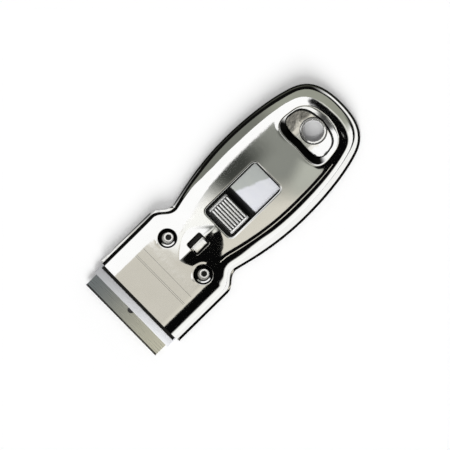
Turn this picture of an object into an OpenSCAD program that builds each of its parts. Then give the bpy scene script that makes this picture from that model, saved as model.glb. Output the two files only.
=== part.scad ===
// Retractable razor blade scraper: a drawn sheet steel shell on a flat back plate,
// with a sliding blade carrier between them. It lies on its back plate. The blade
// points along -Y and is drawn out, and +Z is up.

/* [Outline] */
// Width of the back plate at the waist
waist_w = 34.8; // [32:0.1:38]
// Width of the back plate at the belly of the handle
belly_w = 44.2; // [40:0.1:48]
// Width of the back plate where the rear corners begin
corner_w = 36.4; // [33:0.1:38]
// Length of the flat front panel behind the mouth
panel_len = 18.6; // [15:0.1:20]
// Distance from the mouth to the start of the shoulders
shoulder_at = 26.1; // [24:0.1:28]
// Distance from the mouth to the waist
waist_at = 34.6; // [33:0.1:38]
// Distance from the mouth to the belly
belly_at = 67.6; // [60:0.1:72]
// Length of the rear corners, up to the rear tip
corner_l = 10.7; // [10:0.1:14]

/* [Shell] */
// Thickness of the shell's sheet
sheet = 0.6; // [0.5:0.05:0.7]
// Height of the flat front panel above the table
shell_h = 9; // [8.6:0.1:11]
// Rise of the handle's crown above the front panel
crown_h = 0.7; // [0.3:0.1:1.2]
// Height of the straight wall above the back plate
wall_h = 1.6; // [1:0.1:2.5]
// Margin of the back plate outside the shell's wall
lip = 0.4; // [0.2:0.05:0.5]
// Width of the rounded edge beside the front panel
front_edge_w = 7.2; // [6:0.1:8]
// Width of the rounded edge at the shoulders
shoulder_edge_w = 9.2; // [8:0.1:10]
// Width of the rounded edge at the waist
waist_edge_w = 7; // [6:0.1:8]
// Width of the rounded edge at the belly
belly_edge_w = 6.8; // [6:0.1:8]
// Width of the rounded edge at the rear corners
corner_edge_w = 5.3; // [4.5:0.1:6]
// Width of the rounded edge at the rear tip
tip_edge_w = 5.4; // [4.5:0.1:6]

/* [Arch over the waist] */
// Length of the arch that is raised over the waist
arch_l = 18; // [16:0.5:20]
// Height of the arch above the front panel
arch_h = 1.5; // [1.2:0.1:2]
// Gap between each end of the tang and the opening in the arch
tang_end_gap = 0.6; // [0.4:0.1:1]
// Gap between the tang's bent head and the opening's side
tang_side_gap = 0.2; // [0.15:0.05:0.3]

/* [Thumb window] */
// Distance from the arch's rear end to the window
window_set = 1.2; // [0.8:0.1:2.4]
// Corner radius of the window
window_r = 2; // [1:0.1:3]
// Gap between the window's front edge and the grip
grip_gap = 1.6; // [1.2:0.1:2]
// Gap behind the grip with the slide drawn in
grip_rear_gap = 4.8; // [3:0.1:6]
// Gap on each side of the grip
grip_side_gap = 1.05; // [0.7:0.05:1.4]

/* [Back plate] */
// Thickness of the back plate
plate_t = 1; // [0.8:0.1:1.2]
// Length of the notch in the left edge of the plate
notch_l = 3.2; // [2:0.1:5]
// Distance from the mouth to the middle of the notch
notch_at = 5.4; // [4:0.1:8]
// Length of the stop tang along the tool
tang_l = 5.4; // [4:0.1:6]
// Reach of the tang's bent head to the right
tang_head_w = 3.1; // [2:0.1:3.4]
// Distance from the rivets back to the middle of the tang
tang_set = 6.6; // [6:0.1:8]

/* [Rivets] */
// Outer diameter of the rivet shank
rivet_d = 3; // [2.6:0.1:3.4]
// Bore of the tubular rivet
rivet_bore_d = 2; // [1.6:0.1:2.2]
// Diameter of the rolled rivet head
rivet_head_d = 3.9; // [3.6:0.1:4.6]
// Height of the rolled rivet head
rivet_head_h = 0.7; // [0.5:0.1:0.9]
// Outer diameter of the spacer sleeves
sleeve_d = 5.4; // [5:0.1:6]
// Distance between the two rivets
rivet_span = 19.6; // [19:0.1:21]
// Diameter of the dimple round each rivet
dimple_d = 7; // [6.6:0.1:7.4]
// Depth of the dimple below the front panel
dimple_depth = 2.8; // [2:0.1:3.4]

/* [Hang hole] */
// Bore of the eyelet
hang_d = 8.3; // [7:0.1:9]
// Width of the eyelet's rolled head round the bore
hang_head_w = 1.25; // [1.1:0.05:1.6]
// Height of the eyelet's rolled head
hang_head_h = 0.9; // [0.6:0.1:1.2]
// Wall of the eyelet's barrel
hang_wall = 0.5; // [0.4:0.05:0.6]
// Distance from the hang hole to the rear tip
hang_rear = 15.5; // [15:0.1:17]
// Gap between the eyelet's head and the front and rear of the well
well_gap = 0.3; // [0.2:0.05:0.6]
// Width of the well floor
well_floor_w = 17.6; // [16:0.1:18]
// How far the well widens at its front and rear, from its floor to its mouth
well_run_l = 3.7; // [3:0.1:4]
// How far the well widens on each side, from its floor to its mouth
well_run_w = 2.5; // [2:0.1:3]
// Length of the handle's top between the window and the well
bridge_l = 15; // [13:0.1:18]

/* [Blade] */
// Width of the blade along its edge
blade_w = 38.1; // [37:0.1:39]
// Depth of the blade from its edge to the back of its spine
blade_depth = 19; // [18:0.1:19.2]
// Thickness of the blade
blade_t = 0.25; // [0.2:0.01:0.3]
// Width of each ground bevel behind the edge
bevel_w = 0.8; // [0.5:0.1:1.2]
// Depth of the folded spine
spine_depth = 5; // [4:0.1:6]
// Thickness of the folded spine
spine_t = 1.2; // [1:0.05:1.3]
// Diameter of the blade's locating hole
blade_hole_d = 2.7; // [2:0.1:3]
// Distance from the edge to the middle of the locating hole
blade_hole_at = 5.65; // [5:0.05:6]

/* [Slide] */
// How far the blade's edge stands out in front of the mouth
reach = 10.4; // [9.5:0.1:11]
// Travel of the slide from drawn out to drawn in
travel = 12; // [10:0.1:12]
// Thickness of the carrier's sheet
carrier_t = 0.7; // [0.6:0.05:0.8]
// Gap between the back plate and the carrier
carrier_gap = 0.25; // [0.2:0.05:0.4]
// Gap between the carrier's neck and the sleeves
neck_gap = 1.1; // [0.6:0.1:1.6]
// Width of the carrier's tail under the window
tail_w = 19; // [17:0.1:21]
// Gap between the tail and the underside of the front panel's level
tail_gap = 0.2; // [0.15:0.05:0.6]
// Height of the grip seat's upper face above the table
seat_h = 4.4; // [4.2:0.1:5]
// Length of the clamp strip across the blade
clamp_l = 3.2; // [2.5:0.1:4]
// Distance from the blade's edge to the clamp strip
clamp_at = 5.7; // [5:0.1:6]
// Gap between the clamp's side walls and the ends of the blade
blade_side_gap = 0.4; // [0.3:0.05:0.5]
// Gap between the clamp's side walls and the shell's walls
clamp_gap = 0.45; // [0.3:0.05:0.8]

/* [Thumb grip] */
// Length of the ridged top of the grip
grip_l = 9.2; // [8:0.1:10]
// Width of the grip
grip_w = 12.8; // [11:0.1:13.4]
// Height of the grip's ridges above the front panel
grip_rise = 1.8; // [1.2:0.1:3]
// Number of ridges across the grip
ridges = 7; // [5:1:9]
// Depth of the grooves between the ridges
groove_depth = 0.7; // [0.4:0.1:0.9]
// Wall of the hollow grip
grip_wall = 1; // [0.8:0.1:1.2]

/* [Detent spring] */
// Thickness of the leaf spring
leaf_t = 0.4; // [0.3:0.05:0.5]
// Width of the leaf spring
leaf_w = 6; // [4:0.1:8]
// Radius of the leaf's detent bump
bump_r = 1; // [0.8:0.1:1.2]
// Diameter of the detent holes in the back plate
detent_d = 2.6; // [2.4:0.1:3]
// Shank diameter of the leaf's rivet
leaf_rivet_d = 2; // [1.6:0.1:2.4]

/* [Hidden] */
$fn = 64;

// Overrun of every cut
over = 1;
// Running gap round the tang, the sleeves and the like
fit_gap = 0.3;
// Clearance of a rivet in its hole
rivet_gap = 0.05;

// The shell is as wide in front as the blade, the clamp's walls and their gaps ask
front_w = blade_w + 2 * (blade_side_gap + carrier_t + clamp_gap + sheet + lip);

// The rivets stand where the bed clears their sleeves with the slide drawn in
bed_rear_at = blade_depth + 2 * carrier_t;
rivet_at = bed_rear_at + travel + fit_gap + sleeve_d / 2 - reach;
neck_w = rivet_span - sleeve_d - 2 * neck_gap;

// The tang stands behind the rivets, in the opening in the arch
tang_t = plate_t;
tang_at = rivet_at + tang_set;
tang_slot_l = tang_l + 2 * tang_end_gap;
tang_slot_w = 2 * (tang_head_w - tang_t / 2 + tang_side_gap);

// The window leaves the grip its travel
window_at = tang_at + arch_l / 2 + window_set;
window_l = grip_gap + grip_l + travel + grip_rear_gap;
window_w = grip_w + 2 * grip_side_gap;
grip_top = shell_h + grip_rise;
tail_h = shell_h - sheet - tail_gap;

// The well goes round the eyelet's head, and ends the handle's top
hang_head_d = hang_d + 2 * hang_head_w;
well_floor_l = hang_head_d + 2 * well_gap;
well_mouth_l = well_floor_l + 2 * well_run_l;
well_mouth_w = well_floor_w + 2 * well_run_w;
hang_at = window_at + window_l + bridge_l + well_mouth_l / 2;
shell_len = hang_at + hang_rear;
corner_at = shell_len - corner_l;

// The whole tool is centred on the origin along Y
overall = reach + shell_len;
mouth_y = reach - overall / 2;
edge_y = -overall / 2;

// Outline of the plate's right half, as Bezier runs of [across, behind the mouth].
// The handle shares say how far each run's two handles reach along it.
shoulder_shares = [0.44, 0.45];
belly_shares = [0.045, 0.545];
rear_shares = [0.33, 0.29];
// Slope of the sides where the rear corners begin
corner_slope = 0.32;
corner_shares = [0.6, 0.66];
top_corner_shares = [0.5, 0.56];
// Steps along each run, from the mouth to the tip
run_steps = [2, 4, 7, 9, 8, 12];

tip_at = shell_len;
front_x = front_w / 2;
waist_x = waist_w / 2;
belly_x = belly_w / 2;
corner_x = corner_w / 2;

function straight(a, b) = [a, a + (b - a) / 3, b - (b - a) / 3, b];

// A run that leaves and arrives along the tool, its handles as shares of its length
function swung(a, b, shares) =
    let (l = b[1] - a[1])
    [a, a + [0, l * shares[0]], b - [0, l * shares[1]], b];

// The runs of a line that lies inset mm inside the plate's edge
function edge_runs(inset) =
    let (
        panel = [front_x - inset, panel_len],
        shoulder = [front_x - inset, shoulder_at],
        waist = [waist_x - inset, waist_at],
        belly = [belly_x - inset, belly_at],
        corner = [corner_x - inset, corner_at - inset * corner_slope],
        tip = [0, tip_at - inset],
        side_l = corner[1] - belly_at,
        turn_l = tip[1] - corner[1]
    )
    [
        straight([front_x - inset, 0], panel),
        straight(panel, shoulder),
        swung(shoulder, waist, shoulder_shares),
        swung(waist, belly, belly_shares),
        [belly, belly + [0, side_l * rear_shares[0]],
            corner - side_l * rear_shares[1] * [-corner_slope, 1], corner],
        [corner, corner + turn_l * corner_shares[0] * [-corner_slope, 1],
            [corner[0] * corner_shares[1], tip[1]], tip]
    ];

// The runs of the line where the rounded edge meets the top of the shell
top_share = 0.62;
top_front_x = front_x - lip - front_edge_w;
top_shoulder_x = front_x - lip - shoulder_edge_w;
top_waist_x = waist_x - lip - waist_edge_w;
top_belly_x = belly_x - lip - belly_edge_w;
top_corner = [corner_x - lip - corner_edge_w, corner_at - corner_edge_w * top_share];
top_tip = [0, tip_at - lip - tip_edge_w];

top_runs =
    let (
        panel = [top_front_x, panel_len],
        shoulder = [top_shoulder_x, shoulder_at],
        waist = [top_waist_x, waist_at],
        belly = [top_belly_x, belly_at],
        side_l = top_corner[1] - belly_at,
        turn_l = top_tip[1] - top_corner[1]
    )
    [
        straight([top_front_x, 0], panel),
        swung(panel, shoulder, [top_share, top_share]),
        swung(shoulder, waist, shoulder_shares),
        swung(waist, belly, belly_shares),
        [belly, belly + [0, side_l * rear_shares[0]],
            top_corner - side_l * rear_shares[1] * [-corner_slope, 1], top_corner],
        [top_corner, top_corner + turn_l * top_corner_shares[0] * [-corner_slope, 1],
            [top_corner[0] * top_corner_shares[1], top_tip[1]], top_tip]
    ];

function bezier(c, t) =
    pow(1 - t, 3) * c[0] + 3 * pow(1 - t, 2) * t * c[1] + 3 * (1 - t) * t * t * c[2] + t * t * t * c[3];

// The points of all the runs, one by one from the mouth to the tip
function points_of(runs) = [
    for (r = [0 : len(runs) - 1])
        for (k = [0 : run_steps[r] - 1])
            bezier(runs[r], k / run_steps[r]),
    runs[len(runs) - 1][3]
];

// Both halves of a line, closed across the mouth
function both_sides(half) = concat(half, [for (i = [len(half) - 2 : -1 : 0]) [-half[i][0], half[i][1]]]);

// From 0 to 1 with a soft start and end
function soft(t) = let (s = min(max(t, 0), 1)) s * s * (3 - 2 * s);

// Share of the crown at a place behind the mouth: none on the front panel, all of it past the waist
function crown_share(at) = soft((at - panel_len) / (waist_at - panel_len));

// The arch rises and falls along these shares of its length. It starts as a narrow nose,
// a share of the top's width, and is as wide as the top from a share of its length on.
arch_from = tang_at - arch_l / 2;
arch_rise_share = 0.36;
arch_nose_share = 0.22;
arch_widen_share = 0.7;

// Share of the arch's height at a place across the top, which is half_w wide on each side
function arch_share(x, at, half_w) =
    let (run = (at - arch_from) / arch_l)
    run <= 0 || run >= 1 ? 0 :
    let (
        arch_w = half_w * (arch_nose_share + (1 - arch_nose_share) * soft(run / arch_widen_share)),
        out = min(abs(x) / arch_w, 1)
    )
    soft(run / arch_rise_share) * soft((1 - run) / arch_rise_share) * pow(cos(90 * out), 2);

// Steps round the edge, and steps over each half of the top
edge_steps = 7;
half_steps = 7;
wall_top = plate_t + wall_h;

wall_line = points_of(edge_runs(lip));
top_line = points_of(top_runs);

// One half section of the sheet at station i, from the foot of the wall to the crown.
// skin 0 is the outer face and skin 1 the inner face.
function half_section(i, side, skin) =
    let (
        w = [side * wall_line[i][0], wall_line[i][1]],
        q = [side * top_line[i][0], top_line[i][1]],
        run = norm(q - w),
        inward = (q - w) / run,
        rise = shell_h - wall_top,
        d = sheet * skin,
        crown = crown_h * crown_share(q[1])
    )
    concat(
        [concat(w + inward * d, plate_t)],
        [for (k = [0 : edge_steps])
            let (
                a = 90 * k / edge_steps,
                n = [cos(a) / run, sin(a) / rise],
                flat = w + inward * (run * (1 - cos(a)) + d * n[0] / norm(n))
            )
            concat(flat, wall_top + rise * sin(a) - d * n[1] / norm(n))],
        [for (k = [1 : half_steps])
            let (
                t = 1 - k / half_steps,
                arch = arch_share(q[0] * t, q[1], abs(q[0]))
            )
            [q[0] * t, q[1], shell_h + crown * (1 - t * t) * (1 - arch) + arch_h * arch - d]]
    );

function section(i, skin) =
    let (
        left = half_section(i, -1, skin),
        right = half_section(i, 1, skin)
    )
    concat(left, [for (k = [len(right) - 2 : -1 : 0]) right[k]]);

stations = len(wall_line);
across = 2 * (edge_steps + half_steps + 2) - 1;
outer_skin = [for (i = [0 : stations - 1]) each section(i, 0)];
inner_skin = [for (i = [0 : stations - 1]) each section(i, 1)];

function at(i, j) = i * across + j;
function below(i, j) = (stations + i) * across + j;
function two(a, b, c, d) = [[a, b, c], [a, c, d]];

skin_faces = [
    for (i = [0 : stations - 2])
        for (j = [0 : across - 2])
            each concat(
                two(at(i, j), at(i + 1, j), at(i + 1, j + 1), at(i, j + 1)),
                two(below(i, j + 1), below(i + 1, j + 1), below(i + 1, j), below(i, j))
            )
];
mouth_faces = [
    for (j = [0 : across - 2])
        each two(at(0, j), at(0, j + 1), below(0, j + 1), below(0, j))
];
foot_faces = [
    for (i = [0 : stations - 2])
        each concat(
            two(at(i + 1, 0), at(i, 0), below(i, 0), below(i + 1, 0)),
            two(at(i, across - 1), at(i + 1, across - 1), below(i + 1, across - 1), below(i, across - 1))
        )
];

// The same form filled solid, to trim what is pressed into it
filled_faces = [
    for (i = [0 : stations - 2])
        each concat(
            two(at(i, 0), at(i, across - 1), at(i + 1, across - 1), at(i + 1, 0)),
            [for (j = [0 : across - 2])
                each two(at(i, j), at(i + 1, j), at(i + 1, j + 1), at(i, j + 1))]
        ),
    [for (j = [0 : across - 1]) at(0, j)]
];

// Heights of the well's floor, the dimples' floors and the arch
well_floor_z = plate_t + sheet;
dimple_floor_z = shell_h - dimple_depth;
dimple_floor_d = dimple_d - 2 * sheet;
arch_top = shell_h + arch_h;

// The well is squarer in front, bowed at the rear and a little narrower there
well_front_power = 4;
well_rear_power = 2.6;
well_taper_share = 0.1;
well_steps = 40;

function well_ring(l, w) = [
    for (k = [0 : well_steps - 1])
        let (
            a = 360 * k / well_steps,
            p = 2 / (sin(a) < 0 ? well_front_power : well_rear_power),
            u = sign(cos(a)) * pow(abs(cos(a)), p),
            v = sign(sin(a)) * pow(abs(sin(a)), p)
        )
        [w / 2 * u * (1 - well_taper_share * v), l / 2 * v]
];

module drawn_skin() {
    translate([0, mouth_y, 0])
        polyhedron(concat(outer_skin, inner_skin), concat(skin_faces, mouth_faces, foot_faces));
}

module filled_skin() {
    translate([0, mouth_y, 0])
        polyhedron(outer_skin, filled_faces);
}

module round_slab(l, w, r, h) {
    linear_extrude(h) {
        square([w - 2 * r, l], center = true);
        square([w, l - 2 * r], center = true);
        for (x = [-1, 1], y = [-1, 1])
            translate([x * (w / 2 - r), y * (l / 2 - r)])
                circle(r);
    }
}

module hang_axis() {
    translate([0, mouth_y + hang_at, 0])
        children();
}

module at_rivet(side) {
    translate([side * rivet_span / 2, mouth_y + rivet_at, 0])
        children();
}

// The well's form from its floor up past the crown, grown by a skin of sheet
module well_form(grow, bottom) {
    top = shell_h + crown_h;
    hang_axis()
        hull() {
            translate([0, 0, bottom])
                linear_extrude(sheet / 2)
                    polygon(well_ring(well_floor_l + 2 * grow, well_floor_w + 2 * grow));
            translate([0, 0, top])
                linear_extrude(sheet / 2)
                    polygon(well_ring(well_mouth_l + 2 * grow, well_mouth_w + 2 * grow));
        }
}

module well_cup() {
    difference() {
        intersection() {
            well_form(sheet, plate_t);
            translate([0, 0, -sheet / 3])
                filled_skin();
        }
        well_form(0, well_floor_z);
    }
}

// The cup pressed round a rivet: a rolled rim, a sloping wall and a flat floor
module dimple_cup() {
    rim_r = dimple_d / 2;
    floor_r = dimple_floor_d / 2;
    rotate_extrude()
        polygon([
            [0, dimple_floor_z - sheet],
            [floor_r, dimple_floor_z - sheet],
            [rim_r + sheet, shell_h - sheet / 2],
            [rim_r, shell_h + rim_rise],
            [rim_r - sheet / 2, shell_h + rim_rise],
            [floor_r - sheet / 2, dimple_floor_z],
            [0, dimple_floor_z]
        ]);
}

// The rim stands a little proud, so that the crown's slope never cuts it
rim_rise = sheet / 4;

module top_shell() {
    color("silver")
        difference() {
            union() {
                difference() {
                    drawn_skin();
                    well_form(sheet / 2, well_floor_z);
                    for (side = [-1, 1])
                        at_rivet(side)
                            cylinder(arch_top, d = dimple_d);
                }
                for (side = [-1, 1])
                    at_rivet(side)
                        dimple_cup();
                well_cup();
            }
            translate([0, mouth_y + tang_at, plate_t])
                round_slab(tang_slot_l, tang_slot_w, fit_gap, arch_top);
            translate([0, mouth_y + window_at + window_l / 2, plate_t])
                round_slab(window_l, window_w, window_r, arch_top);
            for (side = [-1, 1])
                at_rivet(side)
                    cylinder(arch_top, d = rivet_d + 2 * rivet_gap);
            hang_axis()
                cylinder(arch_top, d = hang_d + 2 * hang_wall + 2 * rivet_gap);
        }
}

// The lanced tang stands on the centreline, and its head is bent over to the right
tang_top = arch_top - sheet;
tang_head_z = tang_top - tang_t;
lance_l = tang_head_z - plate_t + tang_head_w;
sink_d = rivet_head_d + 2 * fit_gap;
sink_depth = plate_t / 2;
hang_sink_d = hang_head_d + 2 * fit_gap;

module back_plate() {
    color("gainsboro") {
        difference() {
            translate([0, mouth_y, 0])
                linear_extrude(plate_t)
                    polygon(both_sides(points_of(edge_runs(0))));
            translate([-front_x, mouth_y + notch_at, -over])
                round_slab(notch_l, 2 * lip, lip / 2, plate_t + 2 * over);
            for (side = [-1, 1])
                at_rivet(side) {
                    translate([0, 0, -over])
                        cylinder(plate_t + 2 * over, d = rivet_d + 2 * rivet_gap);
                    translate([0, 0, -over])
                        cylinder(sink_depth + over, d = sink_d);
                }
            hang_axis() {
                translate([0, 0, -over])
                    cylinder(plate_t + 2 * over, d = hang_d + 2 * hang_wall + 2 * rivet_gap);
                translate([0, 0, -over])
                    cylinder(sink_depth + over, d = hang_sink_d);
            }
            translate([tang_t / 2, mouth_y + tang_at - tang_l / 2 - fit_gap, -over])
                cube([lance_l, tang_l + 2 * fit_gap, plate_t + 2 * over]);
            for (drawn_in = [0, travel])
                translate([0, edge_y + bump_at + drawn_in, -over])
                    cylinder(plate_t + 2 * over, d = detent_d);
        }
        translate([-tang_t / 2, mouth_y + tang_at - tang_l / 2, 0])
            cube([tang_t, tang_l, tang_top]);
        translate([-tang_t / 2, mouth_y + tang_at - tang_l / 2, tang_head_z])
            cube([tang_t / 2 + tang_head_w - tang_t, tang_l, tang_t]);
    }
}

// A tubular rivet: a flush head below, a shank, and a head rolled over the dimple's floor
module tubular_rivet() {
    shank_r = rivet_d / 2;
    bore_r = rivet_bore_d / 2;
    head_r = rivet_head_d / 2;
    roll_r = rivet_head_h / 2;
    difference() {
        union() {
            cylinder(dimple_floor_z + roll_r, r = shank_r);
            cylinder(sink_depth - rivet_gap, r = head_r);
            translate([0, 0, dimple_floor_z])
                rotate_extrude()
                    intersection() {
                        union() {
                            translate([head_r - roll_r, roll_r])
                                circle(roll_r);
                            translate([bore_r, 0])
                                square([head_r - roll_r - bore_r, rivet_head_h]);
                        }
                        square([head_r, rivet_head_h]);
                    }
        }
        translate([0, 0, -over])
            cylinder(dimple_floor_z + rivet_head_h + 2 * over, r = bore_r);
    }
}

module left_rivet() {
    color("silver")
        at_rivet(-1)
            tubular_rivet();
}

module right_rivet() {
    color("silver")
        at_rivet(1)
            tubular_rivet();
}

// A spacer sleeve keeps the dimple's floor off the back plate
module sleeve() {
    difference() {
        translate([0, 0, plate_t])
            cylinder(dimple_floor_z - sheet - plate_t, d = sleeve_d);
        cylinder(dimple_floor_z, d = rivet_d + 2 * rivet_gap);
    }
}

module left_sleeve() {
    color("darkgray")
        at_rivet(-1)
            sleeve();
}

module right_sleeve() {
    color("darkgray")
        at_rivet(1)
            sleeve();
}

// The eyelet joins the well's floor to the back plate, its upper end rolled outwards
module hang_eyelet() {
    bore_r = hang_d / 2;
    head_r = hang_head_d / 2;
    roll_r = hang_head_h / 2;
    color("gainsboro")
        hang_axis()
            difference() {
                union() {
                    cylinder(well_floor_z + roll_r, r = bore_r + hang_wall);
                    cylinder(sink_depth - rivet_gap, r = head_r);
                    translate([0, 0, well_floor_z])
                        rotate_extrude() {
                            translate([head_r - roll_r, roll_r])
                                circle(roll_r);
                            translate([bore_r + roll_r, 0])
                                square([head_r - 2 * roll_r - bore_r, hang_head_h]);
                            translate([bore_r + roll_r, roll_r])
                                circle(roll_r);
                        }
                }
                translate([0, 0, -over])
                    cylinder(well_floor_z + hang_head_h + 2 * over, r = bore_r);
            }
}

// Heights of the sliding parts
carrier_z = plate_t + carrier_gap;
bed_z = carrier_z + carrier_t;
seat_z = seat_h - carrier_t;
tail_z = tail_h - carrier_t;
spine_z = bed_z;
blade_mid_z = spine_z + spine_t / 2;
bed_step = (spine_t - blade_t) / 2;
clamp_z = blade_mid_z + blade_t / 2 + rivet_gap;
clamp_w = blade_w + 2 * (blade_side_gap + carrier_t);

// How far a fold's upper line lies ahead of its lower line
fold_set = carrier_t / 2;

// Places of the carrier's folds, behind the blade's edge at rest
bed_front_at = clamp_at + carrier_t;
grip_at = reach + window_at + grip_gap;
seat_from = grip_at - carrier_t - 2 * fit_gap;
seat_to = grip_at + grip_l + fold_set + rivet_gap;
step_to = blade_depth - spine_depth - fit_gap;
step_from = step_to - bed_step;
ramp_share = 0.9;
neck_to = seat_from - (seat_z - carrier_z);
tail_from = seat_to + (tail_z - seat_z) * ramp_share;
tail_to = reach + hang_at - well_mouth_l / 2 - 2 * sheet - travel;
slot_w = tang_t + 2 * fit_gap;
slot_from = reach + tang_at - tang_l / 2 - fit_gap - travel;
slot_to = reach + tang_at + tang_l / 2 + fit_gap;
head_w = blade_w + 2 * blade_side_gap;

// The long section of the folded carrier, from its bed up to its tail
module carrier_profile() {
    polygon([
        [bed_front_at, carrier_z + bed_step],
        [step_from, carrier_z + bed_step],
        [step_to, carrier_z],
        [neck_to, carrier_z],
        [seat_from, seat_z],
        [seat_to, seat_z],
        [tail_from, tail_z],
        [tail_to, tail_z],
        [tail_to, tail_z + carrier_t],
        [tail_from - fold_set, tail_z + carrier_t],
        [seat_to - fold_set, seat_z + carrier_t],
        [seat_from - fold_set, seat_z + carrier_t],
        [neck_to - fold_set, bed_z],
        [step_to, bed_z],
        [step_from, bed_z + bed_step],
        [bed_front_at, bed_z + bed_step]
    ]);
}

module along(w) {
    translate([-w / 2, edge_y, 0])
        rotate([90, 0, 90])
            linear_extrude(w)
                children();
}

// Two lugs lanced up from the bed stop the blade's spine
lug_w = 4;
lug_share = 0.6;

module blade_carrier() {
    color("lightsteelblue")
        difference() {
            union() {
                intersection() {
                    along(head_w)
                        carrier_profile();
                    union() {
                        translate([-head_w / 2, edge_y, 0])
                            cube([head_w, bed_rear_at, shell_h]);
                        translate([-neck_w / 2, edge_y, 0])
                            cube([neck_w, tail_to, shell_h]);
                        translate([-tail_w / 2, edge_y + neck_to - carrier_t, 0])
                            cube([tail_w, tail_to, shell_h]);
                    }
                }
                for (x = [-1, 1])
                    translate([x * head_w / 2 * lug_share - lug_w / 2, edge_y + blade_depth, carrier_z])
                        cube([lug_w, carrier_t, spine_t + carrier_t]);
            }
            translate([-slot_w / 2, edge_y + slot_from, 0])
                cube([slot_w, slot_to - slot_from, seat_z]);
            translate([0, edge_y + leaf_rivet_at, 0])
                cylinder(tail_h, d = leaf_rivet_d + 2 * rivet_gap);
        }
}

// The clamp strip holds the blade down, and its ends fold down beside the bed
module blade_clamp() {
    color("lavender")
        translate([-clamp_w / 2, edge_y + clamp_at, 0]) {
            translate([0, 0, clamp_z])
                cube([clamp_w, clamp_l, carrier_t]);
            for (x = [0, clamp_w - carrier_t])
                translate([x, 0, carrier_z])
                    cube([carrier_t, bed_rear_at - clamp_at, clamp_z + carrier_t - carrier_z]);
        }
}

module razor_blade() {
    color("darkseagreen")
        difference() {
            along(blade_w)
                polygon([
                    [0, blade_mid_z],
                    [bevel_w, blade_mid_z - blade_t / 2],
                    [blade_depth - blade_t, blade_mid_z - blade_t / 2],
                    [blade_depth - blade_t, blade_mid_z + blade_t / 2],
                    [bevel_w, blade_mid_z + blade_t / 2]
                ]);
            translate([0, edge_y + blade_hole_at, 0])
                cylinder(shell_h, d = blade_hole_d);
        }
}

// The spine is a strip folded round the blade's back
module blade_spine() {
    color("slategray")
        difference() {
            along(blade_w) {
                translate([blade_depth - spine_depth, blade_mid_z - spine_t / 2])
                    square([spine_depth - spine_t / 2, spine_t]);
                translate([blade_depth - spine_t / 2, blade_mid_z])
                    circle(spine_t / 2);
            }
            translate([-blade_w / 2 - over, edge_y + blade_depth - spine_depth - over, blade_mid_z - blade_t / 2])
                cube([blade_w + 2 * over, spine_depth + over - blade_t, blade_t]);
        }
}

// The grip is a pressed cap with ridges across it and a sloping rear
grip_z = seat_h;
grip_arch_r = 2 * grip_w;
ridge_pitch = grip_l / (ridges + 1);
groove_share = 0.36;

module grip_profile() {
    difference() {
        polygon([
            [grip_at, grip_z],
            [grip_at + grip_l, grip_z],
            [grip_at + grip_l, grip_top - groove_depth],
            [grip_at + grip_l - ridge_pitch / 2, grip_top],
            [grip_at + ridge_pitch / 2, grip_top],
            [grip_at, grip_top - groove_depth]
        ]);
        for (k = [1 : ridges])
            translate([grip_at + k * ridge_pitch, grip_top])
                circle(ridge_pitch * groove_share);
    }
}

module thumb_grip() {
    color("silver")
        intersection() {
            difference() {
                along(grip_w)
                    grip_profile();
                translate([grip_wall - grip_w / 2, edge_y + grip_at + grip_wall, grip_z - over])
                    cube([grip_w - 2 * grip_wall, grip_l - 2 * grip_wall,
                        grip_top - groove_depth - grip_wall - grip_z + over]);
            }
            translate([0, edge_y + grip_at + grip_l / 2, grip_top - grip_arch_r])
                rotate([90, 0, 0])
                    cylinder(grip_l + over, r = grip_arch_r, center = true);
        }
}

// The leaf hangs from the seat, runs back and down, and rides above the back plate
leaf_rivet_at = grip_at + grip_l / 2;
leaf_foot_z = plate_t + 2 * rivet_gap + bump_r - leaf_t / 2;
leaf_l = tail_to - leaf_rivet_at - leaf_w / 2;
bump_at = leaf_rivet_at + leaf_l - leaf_w / 2;

module detent_spring() {
    z = seat_z - leaf_t;
    flat_to = leaf_rivet_at + leaf_w / 2;
    foot_from = bump_at - leaf_w / 4;
    foot_to = bump_at + leaf_w / 4;
    color("steelblue")
        difference() {
            union() {
                along(leaf_w)
                    polygon([
                        [leaf_rivet_at - leaf_w / 2, z],
                        [flat_to, z],
                        [foot_from, leaf_foot_z],
                        [foot_to, leaf_foot_z],
                        [foot_to + leaf_w / 4, leaf_foot_z + 2 * leaf_t],
                        [foot_to + leaf_w / 4 - leaf_t / 2, leaf_foot_z + 3 * leaf_t],
                        [foot_to - leaf_t / 2, leaf_foot_z + leaf_t],
                        [foot_from, leaf_foot_z + leaf_t],
                        [flat_to, z + leaf_t],
                        [leaf_rivet_at - leaf_w / 2, z + leaf_t]
                    ]);
                translate([0, edge_y + bump_at, leaf_foot_z + leaf_t / 2])
                    intersection() {
                        sphere(bump_r);
                        translate([-bump_r, -bump_r, -bump_r])
                            cube([2 * bump_r, 2 * bump_r, bump_r]);
                    }
            }
            translate([0, edge_y + leaf_rivet_at, 0])
                cylinder(tail_h, d = leaf_rivet_d + 2 * rivet_gap);
        }
}

module spring_rivet() {
    head_d = 2 * leaf_rivet_d;
    head_h = leaf_rivet_d / 3;
    color("gray")
        translate([0, edge_y + leaf_rivet_at, 0]) {
            translate([0, 0, seat_z - leaf_t - head_h])
                cylinder(head_h, d = head_d);
            translate([0, 0, seat_z - leaf_t - head_h])
                cylinder(carrier_t + leaf_t + 2 * head_h, d = leaf_rivet_d);
            translate([0, 0, seat_h])
                cylinder(head_h, d = head_d);
        }
}

top_shell();
back_plate();
left_rivet();
right_rivet();
left_sleeve();
right_sleeve();
hang_eyelet();
blade_carrier();
blade_clamp();
razor_blade();
blade_spine();
thumb_grip();
detent_spring();
spring_rivet();
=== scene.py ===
# Look of a retractable razor blade scraper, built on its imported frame.
# The tool lies on a white table and is seen from straight above, with the blade out.
import math
from functools import partial

import bmesh
import bpy
import numpy as np
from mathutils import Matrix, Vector, geometry, kdtree


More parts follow.
